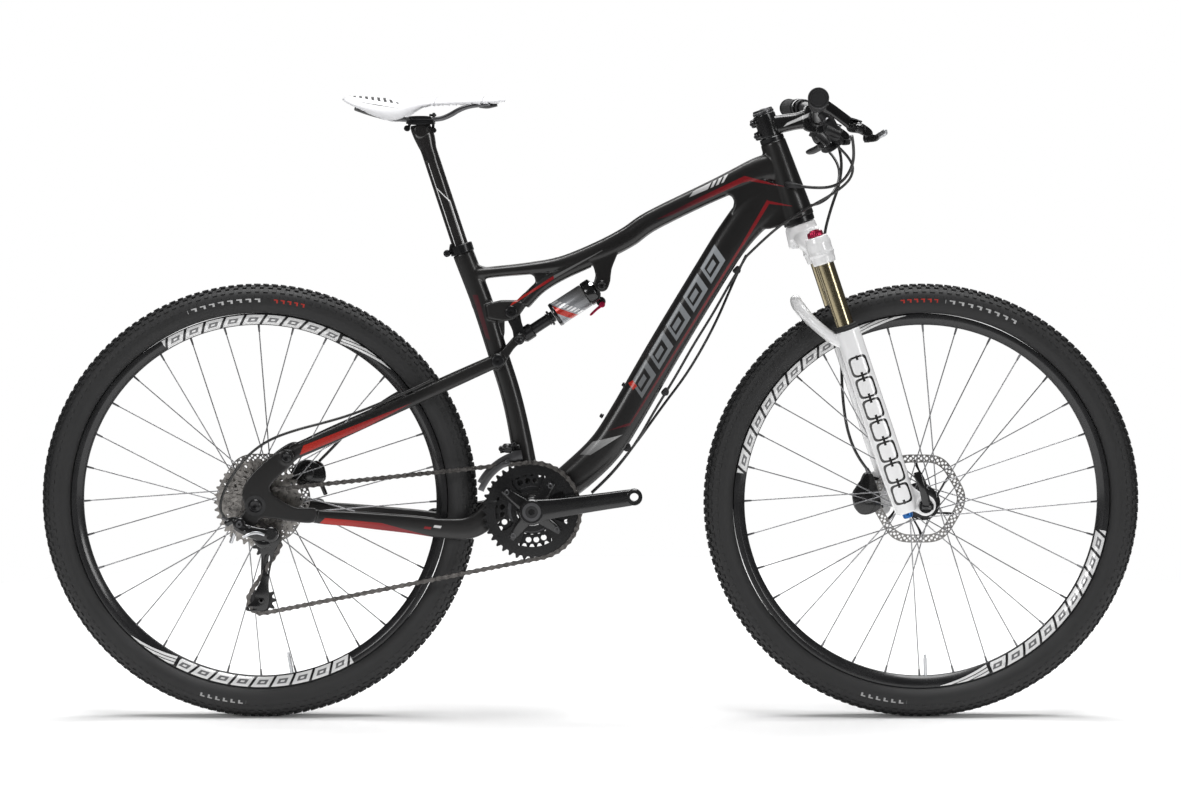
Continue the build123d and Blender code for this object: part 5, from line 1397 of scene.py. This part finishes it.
piece("lockout_knob_red",
      moved(lathe([(2, 0.3), (12.9, 0.3), (13.5, 1.2), (13.4, 5.6), (12.6, 8.2), (10.6, 9.4), (8.4, 9.7),
                   (8, 11.2),
                   (5, 12), (2, 12)], knob_base, -DOWN, 96, closed=True), lobed), "fork_lockout", RED,
      ["lockout_knob"])
piece("left_air_cap",
      lathe([(2, 0), (11, 0), (11.4, 1), (10.6, 3.4), (8, 4.4), (2, 4.6)], steer(171.4, dome, 65), -DOWN,
            40,
                            closed=True), "steering_unit", BLACK, [])

fork_look = surface("fork_lowers_paint", rgb(0.9, 0.9, 0.905), 0.22, 0.0, 0.5, (300.0, 0.03), 0.02)
x, y, z = fork_look.coordinates()
down = fork_look.fma(z, DOWN.z, -(STEER_TOP.x * DOWN.x + STEER_TOP.z * DOWN.z) * MM)
down = fork_look.fma(x, DOWN.x, down)
over = fork_look.fma(z, AHEAD.z, -(STEER_TOP.x * AHEAD.x + STEER_TOP.z * AHEAD.z) * MM - 0.0143)
over = fork_look.fma(x, AHEAD.x, over)
cell = fork_look.div(fork_look.sub(down, 0.378), 0.0374)
part = fork_look.mul(fork_look.sub(fork_look.fract(cell), 0.5), 0.0374)
reach_v = fork_look.sub(fork_look.size(part), 0.0158)
reach_u = fork_look.sub(fork_look.size(over), 0.0140)
box_line = fork_look.size(fork_look.math("SMOOTH_MAX", reach_u, reach_v, 0.012))
line = fork_look.ramp(box_line, 0.0018, 0.0015)
link = fork_look.mul(fork_look.ramp(fork_look.size(over), 0.0022, 0.0019),
                      fork_look.ramp(reach_v, -0.0054, -0.0051))
line = fork_look.high(line, link)
line = fork_look.mul(line, fork_look.ramp(down, 0.378, 0.3785))
line = fork_look.mul(line, fork_look.ramp(down, 0.6395, 0.639))
outer_side = fork_look.ramp(fork_look.size(y), 0.066, 0.0665)
line = fork_look.mul(line, outer_side)
fork_look.set(fork_look.shader.inputs["Base Color"], fork_look.blend(line, fork_look.base, rgb(0.02)))

AXLE_DOWN = (FRONT - STEER_TOP).dot(DOWN)
lowers = []
for side in (-1, 1):
    y = side * 65
    lowers.append(tube_loft([(*steer(334.5, LEG_AHEAD, y), 42, 42), (*steer(350, LEG_AHEAD, y), 42.5, 43),
                             (*steer(420, LEG_AHEAD, y), 42.5, 43.5), (*steer(536, LEG_AHEAD, y), 43, 45),
                             (*steer(610, LEG_AHEAD, y), 40, 43), (*steer(648, LEG_AHEAD, y), 36, 38),
                             (*steer(656, LEG_AHEAD, y), 33, 35)], 2.3, 48, 8))
    web = rounded([tuple(steer(AXLE_DOWN - 64, LEG_AHEAD + 8).xz),
                   tuple(steer(AXLE_DOWN - 34, LEG_AHEAD + 24).xz),
                   tuple(steer(AXLE_DOWN - 15, 52).xz), tuple(steer(AXLE_DOWN + 2, 58).xz),
                   tuple(steer(AXLE_DOWN + 15, 46).xz), tuple(steer(AXLE_DOWN + 6, 28).xz),
                   tuple(steer(AXLE_DOWN - 12, LEG_AHEAD).xz), tuple(steer(AXLE_DOWN - 44, LEG_AHEAD).xz)],
                  5)
    lowers.append(plate(web, *sorted((side * 55, side * 72))))
    lowers.append(cross_rod(FRONT, *sorted((side * 51, side * 74)), 17.5, 2.5, 48))
lowers.append(tube_loft([(*steer(358, 6, -63), 20, 30), (*steer(338, -14, -58), 18, 30),
                         (*steer(302, -36, -43), 17, 30),
                         (*steer(275, -46, -21), 18, 28), (*steer(270, -47, 0), 19, 27),
                         (*steer(275, -46, 21), 18, 28),
                         (*steer(302, -36, 43), 17, 30), (*steer(338, -14, 58), 18, 30),
                         (*steer(358, 6, 63), 20, 30)],
                        2.6, 32, 8, across=AHEAD))
lowers.append(plate(rounded([(486, 345), (512, 345), (506, 404), (492, 412), (478, 404)], 5), 53, 60))
organic("fork_lower_casting", lowers, "fork_lower_unit", fork_look, ["fork_lowers"], 1.3, 8)
seals = [lathe([(15.2, 325.6), (18, 325.8), (19.4, 327), (19.4, 330), (20.6, 331), (20.6, 334.6),
                (15.2, 334.6)],
               STEER_TOP + AHEAD * LEG_AHEAD + Vector((0, s * 65, 0)), DOWN, 48, closed=True) for s in (-1,
                       1)]
piece("fork_dust_seals", joined(*seals), "fork_lower_unit", RUBBER, ["wiper_seals"])
rebound = [lathe([(2, 656.9), (8.6, 656.9), (9, 658), (8.8, 662), (8, 664.6), (6.6, 665.4), (2, 665.4)],
                 STEER_TOP + AHEAD * LEG_AHEAD + Vector((0, -65, 0)), DOWN, 32, closed=True)]
piece("rebound_dial", joined(*rebound), "fork_rebound", BLUE, ["rebound_knob"])
front_axle = [cross_rod(FRONT, -78, 74, 7, 0.5, 36),
              lathe([(3, 0), (11.2, 0), (12, 1), (12, 5), (11, 6), (3, 6)], at(FRONT, -80), ACROSS, 40,
                    closed=True),
              lathe([(3, 0), (12, 0), (12, 3), (11, 4), (3, 4)], at(FRONT, 74), ACROSS, 40, closed=True),
              rod(at(FRONT, -85) - Vector((11.2, 0, 0)), at(FRONT, -85) + Vector((11.2, 0, 0)), 2, None,
                  0.3, 20)]
for ear in (-1, 1):
    near, far = FRONT.x + ear * 8.3, FRONT.x + ear * 11.5
    front_axle.append(plate(rounded([(near, 362.5), (far, 362.5), (far, 371.5), (near, 371.5)], 3), -88,
                            -79))
piece("front_through_axle", joined(*front_axle), "fork_lower_unit", BLACK, ["front_axle"])
lever = [rod(at(FRONT, -85) - Vector((8, 0, 0)), at(FRONT, -85) + Vector((8, 0, 0)), 4.6, None, 0.5, 32),
         tube_loft([(558, -85.3, 368, 7.4, 14), (557, -86, 376, 8, 14), (555, -88, 384, 6, 14),
                    (551, -90, 398, 6, 12), (547, -90, 410, 6, 13),
                    (543, -89, 420, 5, 15), (541.5, -88.5, 425, 3, 11)], 2.8, 28, 8)]
piece("axle_lever_blade", joined(*lever), "front_axle_lever", GLOSS, ["front_qr_lever"],
      45.0)
front_outline = [(458, 342), (476, 342), (493, 354), (490, 378), (484, 396), (478, 410), (466, 409),
                 (458, 392),
                 (447, 376), (449, 356)]
front_cal = caliper_shapes(front_outline, 26.5, 52.5, 37.5, FRONT)
front_cal += [plate(rounded([(449, 352), (462, 346), (468, 400), (458, 396), (447, 376)], 4), 34, 41),
              cross_rod((472, 0, 372), 52.5, 55, 12, 1.2, 32),
              cross_rod((472, 0, 372), 24.5, 27, 12, 1.2, 32),
              rod((470, 56, 404), (492, 56, 398), 4.2, 4.2, 0.6, 20),
              rod((480, 56, 348), (500, 56, 352), 4.2, 4.2, 0.6, 20)]
piece("front_brake_caliper", joined(*front_cal), "fork_lower_unit", GLOSS, ["front_caliper"],
      bevel=0.8)

# ---- cockpit -------------------------------------------------------------------------------
stem_root = steer(-27)
stem_shapes = [rod(steer(-8), steer(-48), 18.6, 18.6, 1.2, 48),
               tube_loft([(*stem_root, 30, 32), (*(stem_root.lerp(BAR_CLAMP, 0.3)), 31, 30),
                          (*(stem_root.lerp(BAR_CLAMP, 0.6)), 33, 28),
                          (*(BAR_CLAMP - Vector((14, 0, 2))), 38, 34)],
                         3.4, 40, 8),
               plate(rounded([(358, 1028), (370, 1034), (377.6, 1034), (377.6, 1028), (377.6, 994),
                              (377.6, 988),
                              (368, 988), (356, 996)], 4), -19, 19),
               rod(steer(-16, -16), steer(-16, -26), 8, 7, 1.0, 24),
               rod(steer(-38, -16), steer(-38, -26), 8, 7, 1.0, 24)]
stem_look = surface("stem_paint", rgb(0.008, 0.008, 0.0085), 0.24, 0.1, 0.4, (600.0, 0.05))
x, y, z = stem_look.coordinates()
mask = stem_look.inside(x, z, [(322, 996.5), (328, 1003), (368, 1021), (362, 1012)])
side_only = stem_look.ramp(stem_look.size(y), 0.0125, 0.0128)
stem_look.set(stem_look.shader.inputs["Base Color"],
              stem_look.blend(stem_look.mul(mask, side_only), stem_look.base, rgb(0.8)))
organic("stem_body", stem_shapes, "steering_unit", stem_look, ["stem"], 0.9, 4)
plate_outline = [(379.6, 1033), (386, 1034), (394, 1028), (399, 1018), (400.5, 1008), (397, 996),
                 (389, 988),
                 (379.6, 989)]
face = [plate(rounded(plate_outline, 4), *sorted((s * 4, s * 20)), [])
        for s in (-1, 1)]
face.append(plate(rounded([(396, 1026), (402, 1012), (398, 996), (394, 997), (397, 1011), (392, 1025)], 4),
                  -20, 20))
piece("stem_front_plate", joined(*face), "steering_unit", BLACK, ["stem_faceplate"],
      bevel=0.5)
cap = [lathe([(2.6, -52.4), (17, -52.4), (17.4, -53.4), (16, -56.4), (6, -57), (4.6, -55.6), (2.6, -55.6)],
             STEER_TOP,
             DOWN, 48, closed=True),
       lathe([(14.4, -48.2), (18, -48.2), (18, -52.2), (14.4, -52.2)], STEER_TOP, DOWN, 48, closed=True),
       lathe([(0.5, -55), (4, -55), (4, -57.4), (2.2, -57.4), (2.2, -56), (0.5, -56)], STEER_TOP, DOWN, 24,
             closed=True)]
for lift in (-21, 21):
    for yb in (-15, 15):
        start = BAR_CLAMP + Vector((9, yb, lift * 0.86))
        cap.append(lathe([(1.6, -2), (3.6, -2), (3.6, 3.4), (3, 4), (1.6, 4)], start, (1, 0, 0), 20,
                         closed=True))
for downward in (-16, -38):
    bolt = steer(downward, -24)
    cap.append(cross_rod(bolt, -11, 11, 3.4, 0.5, 20))
piece("stem_bolts_and_cap", joined(*cap), "steering_unit", DARK_STEEL, ["stem_fasteners"])

bar_points = [at(BAR_END, -350), at(BAR_KINK, -165), at(BAR_KINK, -130),
              at(BAR_KINK.lerp(BAR_CLAMP, 0.6), -82),
              at(BAR_CLAMP, -45), at(BAR_CLAMP, 45), at(BAR_KINK.lerp(BAR_CLAMP, 0.6), 82),
              at(BAR_KINK, 130),
              at(BAR_KINK, 165), at(BAR_END, 350)]
bar_points[1] = on_bar(35, -1)
bar_points[8] = on_bar(35, 1)
bar_look = surface("handlebar_paint", rgb(0.011, 0.011, 0.012), 0.34, 0.2, 0.2, (800.0, 0.08))
cord_piece("handlebar_tube", bar_points, 11.1, "steering_unit", ["handlebar"], bar_look)
piece("handlebar_clamp_zone",
      lathe([(11, -30), (13, -30), (15.9, -24), (15.9, 24), (13, 30), (11, 30)], BAR_CLAMP, ACROSS,
                                    48, closed=True), "steering_unit", bar_look, [])
grip_look = surface("grip_texture", rgb(0.018, 0.018, 0.019), 0.74, 0.0, 0.0, (420.0, 0.9))
for side, name in ((-1, "right"), (1, "left")):
    profile = [(11.2, 92), (15.4, 92), (16.2, 93), (16.2, 98), (15.4, 99)]
    for step in range(22):
        start = 100 + step * 5.2
        profile += [(14.3, start), (15.2, start + 0.9), (15.2, start + 3.6), (14.3, start + 4.5)]
    profile += [(15.4, 215), (16.2, 216), (16.2, 219.5), (15.6, 221), (14.4, 221), (14.0, 220.2),
                (11.2, 220.2)]
    axis = Vector((BAR_OUT.x, side * BAR_OUT.y, BAR_OUT.z))
    origin = on_bar(0, side)
    piece("grip_" + name, lathe(profile, origin, axis, 56, closed=True), "steering_unit", grip_look,
          ["grips"] if side < 0 else [])
    piece("bar_end_plug_" + name,
          lathe([(0.4, 218), (11.2, 218), (13.6, 220.4), (13.0, 221.3), (11.8, 221.5), (11.2, 220.6),
                 (0.4, 220.6)],
                                        origin, axis, 48, closed=True), "steering_unit", PLASTIC, [])
    piece("grip_collar_" + name,
          lathe([(11.2, 214), (16.5, 214), (16.7, 215), (16.7, 218.2), (16.4, 219), (11.2, 219)],
                                       origin, axis, 48, closed=True), "steering_unit", DARK_STEEL, [])
    clamp = on_bar(62, side)
    cylinder = [lathe([(11.2, 55), (15.4, 55), (16, 56), (16, 68), (15.4, 69), (11.2, 69)], origin, axis,
                      40, closed=True),
                tube_loft([(*(clamp + Vector((10, 0, -4))), 14, 20),
                           (*(clamp + Vector((26, 0, -14))), 14, 18),
                           (424, side * 192, 994, 15, 18)], 2.8, 28, 8, across=ACROSS),
                tube_loft([(422, side * 158, 995, 16, 15), (424, side * 172, 994, 20, 19),
                           (427, side * 205, 993, 20, 19),
                           (430, side * 222, 991, 17, 17), (432, side * 229, 989, 12, 12)], 2.5, 32, 8,
                          across=Vector((1, 0, 0))),
                plate(rounded([(428, 1001), (444, 993), (452, 984), (448, 977), (436, 980), (424, 988)], 5),
                      *sorted((side * 205, side * 222)))]
    organic("brake_master_" + name, cylinder, "steering_unit", GLOSS,
            ["brake_cylinders"] if side < 0 else [],
            0.9, 4)
    piece("brake_reservoir_lid_" + name,
          moved(plate(rounded([(-8, -20), (8, -20), (10, 0), (8, 20), (-8, 20), (-10, 0)], 5), 0, 2.4),
                              lambda v,
                s=side: Vector((426 + v.x * 0.94 + v.y * 0.3, s * 195 + v.z,
                                1003.2 - v.x * 0.3 + v.y * 0.9))),
          "steering_unit", DARK_STEEL, [], bevel=0.5)
    blade = [tube_loft([(441, side * 208, 976, 13, 9), (448, side * 222, 975, 13, 7),
                        (454, side * 245, 975, 11, 6),
                        (455, side * 275, 977, 10, 6), (456, side * 292, 979, 10, 6)], 2.6, 24, 8,
                       across=UP),
             rod((443, side * 214, 984), (443, side * 214, 968), 4.4, 4.4, 0.6, 20)]
    piece("brake_blade_" + name, joined(*blade), name + "_brake_lever", BLACK, ["brake_lever_" + name],
          45.0)
    piece("brake_blade_tip_" + name,
          tube_loft([(456, side * 290, 978.8, 10.4, 6.4), (458, side * 300, 980, 10.4, 6.4),
                     (461, side * 308, 982, 11, 6.4),
                     (464, side * 314, 983.5, 8, 5)], 2.4, 24, 8, across=UP), name + "_brake_lever", SILVER,
          [],
          45.0)
    pod = [lathe([(11.2, 22), (14.6, 22), (15, 23), (15, 33), (14.6, 34), (11.2, 34)], origin, axis, 40,
                 closed=True),
           tube_loft([(374, side * 156, 1018, 20, 16), (384, side * 155, 1006, 26, 20),
                      (391, side * 152, 990, 34, 24),
                      (395, side * 150, 978, 32, 22), (397, side * 149, 972.4, 24, 16)], 3.2, 36, 8,
                     across=ACROSS),
           tube_loft([(392, side * 136, 986, 14, 14), (404, side * 128, 974, 14, 14),
                      (409, side * 124, 967, 10, 10)], 2.6,
                     28, 8, across=ACROSS),
           rod((380, side * 170, 990), (404, side * 168, 980), 7, 6, 1.0, 28)]
    organic("shifter_pod_" + name, pod, "steering_unit", PLASTIC, ["shifter_bodies"] if side < 0 else [],
            0.9, 4)
    piece("shifter_window_" + name,
          moved(rod((0, 0, 0), (0, 0, 3), 9.5, 8.4, 0.8, 28),
                lambda v,
                s=side: Vector((379, s * 166, 1003)) + Vector((v.x * 0.8 - v.z * 0.55, s * v.y,
                                                               v.x * 0.55 + v.z * 0.83))),
          "steering_unit", DARK_STEEL, [])
    paddle = [rod((397.2, side * 150, 970.8), (399.8, side * 150, 964), 8, 7.6, 0.8, 28),
              tube_loft([(398, side * 151, 966, 14, 9), (391, side * 161, 961, 14, 9),
                         (383, side * 171, 957, 15, 9),
                         (378, side * 178, 955, 12, 7)], 2.6, 20, 8, across=Vector((1, 0, 0)))]
    piece("shift_paddle_" + name, joined(*paddle), name + "_shift_lever", PLASTIC, ["shift_lever_" + name],
          45.0)

# ---- hoses and cables ----------------------------------------------------------------------
housing_runs = {
    "frame_housing_right": [(261, -10, 780), (252, -7, 764), (232, -6.5, 731), (204, -6.5, 681),
                            (172, -6.5, 630),
                            (142, -6.5, 576), (108, -6.5, 521), (80, -6.5, 471), (53, -6.5, 434),
                            (27, -6.5, 404),
                            (2, -6.5, 381)],
    "frame_housing_left": [(262, 7, 782), (250, 6.5, 758), (234, 6.5, 722), (214, 6.5, 675),
                           (190, 6.5, 628),
                           (160, 6.5, 578), (122, 6.5, 528), (84, 6.5, 474), (53, 6.5, 434), (27, 6.5, 404),
                           (2, 6.5, 381)]}
for name, points in housing_runs.items():
    cord_piece(name, points, 2.2, "frame", ["frame_housings"] if name.endswith("right") else [])
steer_cords = {
    "rear_brake_hose": ([(424, -156, 980), (430, -140, 955), (428, -110, 925), (412, -70, 900),
                         (380, -44, 893),
                         (345, -40, 898)], 2.5, (412, -70, 900), (345, -40, 898)),
    "rear_shift_housing_front": ([(404, -132, 962), (430, -112, 940), (432, -82, 912), (408, -54, 888),
                                  (362, -40, 862),
                                  (320, -38, 836), (286, -26, 806), (261, -10, 780)], 2.2, (408, -54, 888),
                                 (261, -10, 780)),
    "front_shift_housing": ([(404, 132, 962), (424, 116, 942), (426, 92, 905), (404, 64, 875),
                             (372, 48, 862),
                             (345, 42, 868)], 2.2, (404, 64, 875), (345, 42, 868)),
}
for name, (points, radius, end, start) in steer_cords.items():
    cord = cord_piece(name, points, radius, None, ["control_cables"] if name == "rear_brake_hose" else [])
    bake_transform(cord)
front_hose = cord_piece("front_brake_hose_line", [
    (424, 156, 980), (434, 150, 950), (430, 130, 905), (412, 108, 860), (398, 96, 810), (404, 92, 760),
                                                  (420, 92, 705),
    (430, 92, 650), (430, 90, 590), (432, 82, 530), (440, 70, 475), (457, 58.5, 434), (472, 48, 415.5)],
                        2.5, None,
    ["front_brake_hose"])
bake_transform(front_hose)
piece("front_hose_fitting", joined(rod((470.8, 48.8, 417.5), (473.6, 46.8, 411), 3.4, 3.8, 0.6, 24),
                                   rod((473.2, 47.0, 412), (476, 45.2, 404), 4.6, 4.6, 0.8, 6)),
      "fork_lower_unit", DARK_STEEL, [])
ports = [tube_loft([(351, -40.7, 897.2, 6.6, 6.6), (341, -38.8, 898.6, 9, 9), (332, -32, 899.4, 10.5, 10.5),
                    (328, -22, 899.4, 12, 12), (327, -12, 899.4, 12, 12)], 2.2, 24, 8),
         tube_loft([(351, 43.2, 866.7, 6.2, 6.2), (341, 40.9, 869, 9, 9), (332, 34, 870, 10.5, 10.5),
                    (328, 23, 870, 12, 12), (327, 12, 870, 12, 12)], 2.2, 24, 8)]
piece("cable_ports", joined(*ports), "frame", PLASTIC, [])
cord_piece("rear_shift_housing", [
    (-262, -47, 576), (-300, -50, 558), (-345, -56, 539), (-395, -62, 519), (-440, -68, 506),
                                  (-490, -78, 494),
    (-535, -86, 478), (-572, -88, 450), (-598, -88, 414), (-614, -87, 380), (-615, -85, 353),
                                  (-600, -84, 342)], 2.2,
    "seatstay_unit", ["rear_hoses"])
cord_piece("rear_caliper_hose", [
    (-262, 44, 577), (-300, 44, 561), (-342, 41, 540), (-380, 36, 512), (-414, 34, 480), (-440, 40, 452),
                                 (-462, 50, 430)],
    2.5, "seatstay_unit")

# ---- seat ----------------------------------------------------------------------------------
post_look = surface("seatpost_paint", rgb(0.014, 0.013, 0.013), 0.22, 0.0, 0.5, (600.0, 0.04))
x, y, z = post_look.coordinates()
rise = post_look.fma(z, POST_UP.z, -(POST_FOOT.x * POST_UP.x + POST_FOOT.z * POST_UP.z) * MM)
rise = post_look.fma(x, POST_UP.x, rise)
over = post_look.fma(z, -POST_UP.x, -(POST_FOOT.x * POST_UP.z - POST_FOOT.z * POST_UP.x) * MM)
over = post_look.fma(x, POST_UP.z, over)
lines = None
for offset, low, high in ((-0.0075, 0.0, 0.155), (0.0075, 0.0, 0.085)):
    line = post_look.mul(post_look.ramp(post_look.size(post_look.sub(over, offset)),
                                                     0.0008, 0.0005),
                         post_look.ramp(rise, high, high - 0.002))
    lines = line if lines is None else post_look.high(lines, line)
lean = post_look.fma(over, 1.9, rise)
diagonal = post_look.mul(post_look.ramp(post_look.size(post_look.sub(lean, 0.096)),
                                                     0.0022, 0.0014),
                          post_look.mul(post_look.ramp(over, -0.0075, -0.007),
                                        post_look.ramp(over, 0.0085, 0.008)))
lines = post_look.high(lines, diagonal)
post_look.set(post_look.shader.inputs["Base Color"], post_look.blend(lines, post_look.base, rgb(0.8)))
post = [rod(POST_FOOT - POST_UP * 100, POST_FOOT + POST_UP * 170, 13.6, None, 0.5, 48),
        tube_loft([(*(POST_FOOT + POST_UP * 158), 27.2, 27.2), (*(POST_FOOT + POST_UP * 176), 27.4, 27.6),
                   (*(POST_FOOT + POST_UP * 186), 28, 31), (*(POST_FOOT + POST_UP * 200), 29, 35),
                   (-284, 0, 994, 30, 34), (-285, 0, 1000, 30, 32)], 2.2, 40, 8),
        cross_rod((-283, 0, 990), -15, 15, 12, 1.5, 40)]
organic("seatpost_tube", post, "seatpost_unit", post_look, ["seatpost"], 1.0, 4)
clamp_parts = [plate(rounded([(-306, 1001), (-284, 1000), (-262, 1002), (-265, 1006.5), (-284, 1007),
                              (-303, 1006)], 4), -27, 27),
               plate(rounded([(-301, 1010.5), (-267, 1010.5), (-270, 1014), (-298, 1014)], 4), -27, 27),
               rod((-264, 0, 988), (-262, 0, 1020), 2.4, None, 0.4, 16),
               rod((-264, 0, 1014), (-264, 0, 1018), 6, None, 0.8, 24),
               cross_rod((-262.5, 0, 991), -7, 7, 4.5, 0.8, 24),
               cross_rod((-307, 0, 994), -8, 8, 5, 0.8, 24),
               rod((-306, 0, 992), (-298, 0, 1013), 2.4, None, 0.4, 16)]
piece("saddle_clamp_plates", joined(*clamp_parts), "seatpost_unit", BLACK, ["saddle_clamp"],
      bevel=0.4)
for side in (-1, 1):
    cord_piece("saddle_rail_" + ("right" if side < 0 else "left"), [
        (-388, side * 31, 1025), (-366, side * 29, 1019), (-345, side * 25, 1011),
                                                                    (-315, side * 22, 1008.5),
                                                                    (-285, side * 22, 1008.5),
        (-255, side * 22, 1008.6), (-238, side * 21, 1014), (-215, side * 19, 1028),
                                                                    (-192, side * 14, 1033),
                                                                    (-168, side * 9, 1034)], 3.5,
        "seatpost_unit", ["saddle_rails"] if side < 0 else [], DARK_STEEL)

saddle_look = surface("saddle_cover", rgb(0.8, 0.8, 0.82), 0.42, 0.0, 0.08, (700.0, 0.12), 0.03)
x, y, z = saddle_look.coordinates()
cells = saddle_look.new("ShaderNodeTexVoronoi", {0: saddle_look.place(), "Scale": 650.0},
                        feature="DISTANCE_TO_EDGE")
saddle_look.bump(saddle_look.ramp(cells, 0.0, 0.1), 0.18, 0.0003)
wing = saddle_look.inside(x, z,
                          [(-404, 1046), (-396, 1049), (-340, 1044), (-316, 1035), (-322, 1033),
                           (-356, 1039)])
bars = saddle_look.fract(saddle_look.mul(saddle_look.fma(z, 0.5, x), 105.0))
wing = saddle_look.mul(wing, saddle_look.ramp(bars, 0.5, 0.55))
trim = saddle_look.inside(x, z,
                          [(-410, 1041.5), (-409, 1043), (-352, 1032.5), (-318, 1027.5), (-318, 1026),
                           (-352, 1030.5)])
saddle_look.set(saddle_look.shader.inputs["Base Color"],
                saddle_look.blend(saddle_look.high(wing, trim), saddle_look.base, rgb(0.02)))


def saddle_skin():
    """Shell sections from tail to nose: half width, top height, edge height, crown and channel."""
    sections = ((-413, 30, 1044, 1040, 0.0), (-408, 50, 1047, 1036, 0.4), (-396, 63, 1048, 1030, 1.2),
                (-378, 68, 1047.5, 1022, 2.0), (-356, 69, 1046, 1012, 2.6), (-334, 66, 1044.5, 1005, 3.0),
                (-314, 55, 1043.5, 1008, 3.0), (-296, 42, 1043.5, 1020, 2.8), (-276, 32, 1044, 1029, 2.4),
                (-250, 26, 1045, 1031, 2.0), (-220, 22, 1046, 1031.5, 1.4), (-190, 19, 1046.5, 1032, 0.8),
                (-165, 16.5, 1046.5, 1032.5, 0.3), (-150, 13, 1045.5, 1034, 0.0),
                (-142.5, 7, 1042.5, 1037, 0.0))
    stations = spline([(s[0], s[1], s[2]) for s in sections], 5)
    others = spline([(s[3], s[4], 0) for s in sections], 5)
    verts, faces = [], []
    ring = 36
    for (sx, half, top), (edge, dip, _) in zip(stations, others):
        for i in range(ring):
            share = i / (ring - 1) * 2 - 1
            angle = share * pi / 2
            out = sin(angle) * half
            level = top - (top - edge) * (1 - cos(angle)) ** 1.15
            level -= dip * exp(-(out / 7.0) ** 2)
            verts.append(Vector((sx, out, level)))
        for i in range(ring):
            share = 1 - i / (ring - 1) * 2
            out = share * half * 0.93
            under = min(edge + 2.5 + 9 * (1 - abs(share)) ** 0.5, top - 5 - dip)
            verts.append(Vector((sx, out, under)))
    row = ring * 2
    count = len(stations)
    for k in range(count - 1):
        for i in range(row):
            j = (i + 1) % row
            faces.append([k * row + i, k * row + j, (k + 1) * row + j, (k + 1) * row + i])
    faces.append(list(range(row)))
    faces.append([(count - 1) * row + i for i in reversed(range(row))])
    return verts, faces


cover = organic("saddle_cover", [saddle_skin()], "seatpost_unit", saddle_look, ["saddle"],
                1.4, 5)
under = [tube_loft([(-392, 0, 1027, 74, 8), (-372, 0, 1020, 86, 8), (-350, 0, 1014, 84, 8),
                    (-330, 0, 1010.5, 78, 7),
                    (-312, 0, 1012, 60, 5)], 3.0, 36, 6),
         tube_loft([(-186, 0, 1031, 18, 6), (-172, 0, 1031, 22, 8), (-156, 0, 1033, 18, 5)], 3.0, 24, 6)]
piece("saddle_underside", joined(*under), "seatpost_unit", COVER_PLASTIC, [], 50.0)
seams = []
for sx, half, top, low in ((-262, 28.8, 1044.6, 1031), (-183, 18.2, 1046.5, 1033)):
    arc = []
    for i in range(25):
        angle = (i / 24 * 2 - 1) * pi / 2
        level = top - (top - low) * (1 - cos(angle)) ** 1.15
        arc.append((sx + 5 * cos(angle), sin(angle) * half, level + 0.2))
    seams.append(arc)
seam_look = surface("saddle_seam", rgb(0.5, 0.5, 0.52), 0.6)
for number, arc in enumerate(seams):
    cord_piece(f"saddle_seam_{number}", arc, 0.45, "seatpost_unit", [], seam_look)

# ---- floor, light and camera ---------------------------------------------------------------
floor_mesh = bpy.data.meshes.new("floor")
rim_points = [(2.1 * cos(TAU * i / 96), 2.1 * sin(TAU * i / 96), 0) for i in range(96)]
floor_mesh.from_pydata(rim_points, [], [list(range(96))])
floor = linked("floor", floor_mesh)
floor_nodes = Nodes("studio_floor")
floor_nodes.shader.inputs["Base Color"].default_value = rgb(0.93)
floor_nodes.shader.inputs["Roughness"].default_value = 0.95
floor_nodes.shader.inputs["Specular IOR Level"].default_value = 0.0
floor_mesh.materials.append(floor_nodes.material)

world = bpy.data.worlds.new("studio")
bpy.context.scene.world = world
world.use_nodes = True
tree = world.node_tree
background = tree.nodes["Background"]
rays = tree.nodes.new("ShaderNodeLightPath")
mix = tree.nodes.new("ShaderNodeMix")
mix.data_type = "RGBA"
tree.links.new(rays.outputs["Is Camera Ray"], mix.inputs[0])
mix.inputs[6].default_value = rgb(0.1)
mix.inputs[7].default_value = rgb(1.0)
tree.links.new(mix.outputs[2], background.inputs[0])
background.inputs[1].default_value = 1.0


def area_light(name, place, target, size, power, depth=None):
    data = bpy.data.lights.new(name, "AREA")
    data.shape = "RECTANGLE"
    data.size = size
    data.size_y = depth or size
    data.energy = power
    light = bpy.data.objects.new(name, data)
    light.location = place
    light.rotation_euler = (Vector(target) - Vector(place)).to_track_quat("-Z", "Y").to_euler()
    bpy.context.scene.collection.objects.link(light)


sun_data = bpy.data.lights.new("overhead_sky", "SUN")
sun_data.energy = 2.55
sun_data.angle = 0.6
sun = bpy.data.objects.new("overhead_sky", sun_data)
sun.rotation_euler = (0.12, 0.05, 0.0)
bpy.context.scene.collection.objects.link(sun)
area_light("front_left", (-3.0, -3.6, 1.9), (0, 0, 0.6), 1.3, 56)
area_light("front_right", (3.2, -3.2, 1.5), (0.2, 0, 0.6), 0.9, 38, 1.7)
area_light("back", (0.6, 3.4, 2.2), (0, 0, 0.6), 2.0, 24)
area_light("top_strip", (0.0, 0.5, 2.7), (0, 0.1, 0.6), 2.8, 36, 0.35)

camera_data = bpy.data.cameras.new("camera")
camera_data.lens = 90.7
camera_data.sensor_width = 36.0
camera = bpy.data.objects.new("camera", camera_data)
camera.location = (0.0, -5.0, 0.916)
camera.rotation_euler = (Vector((0.0, 0.0, 0.549)) - camera.location).to_track_quat("-Z", "Y").to_euler()
bpy.context.scene.collection.objects.link(camera)
bpy.context.scene.camera = camera
bpy.context.scene.view_settings.view_transform = "Standard"
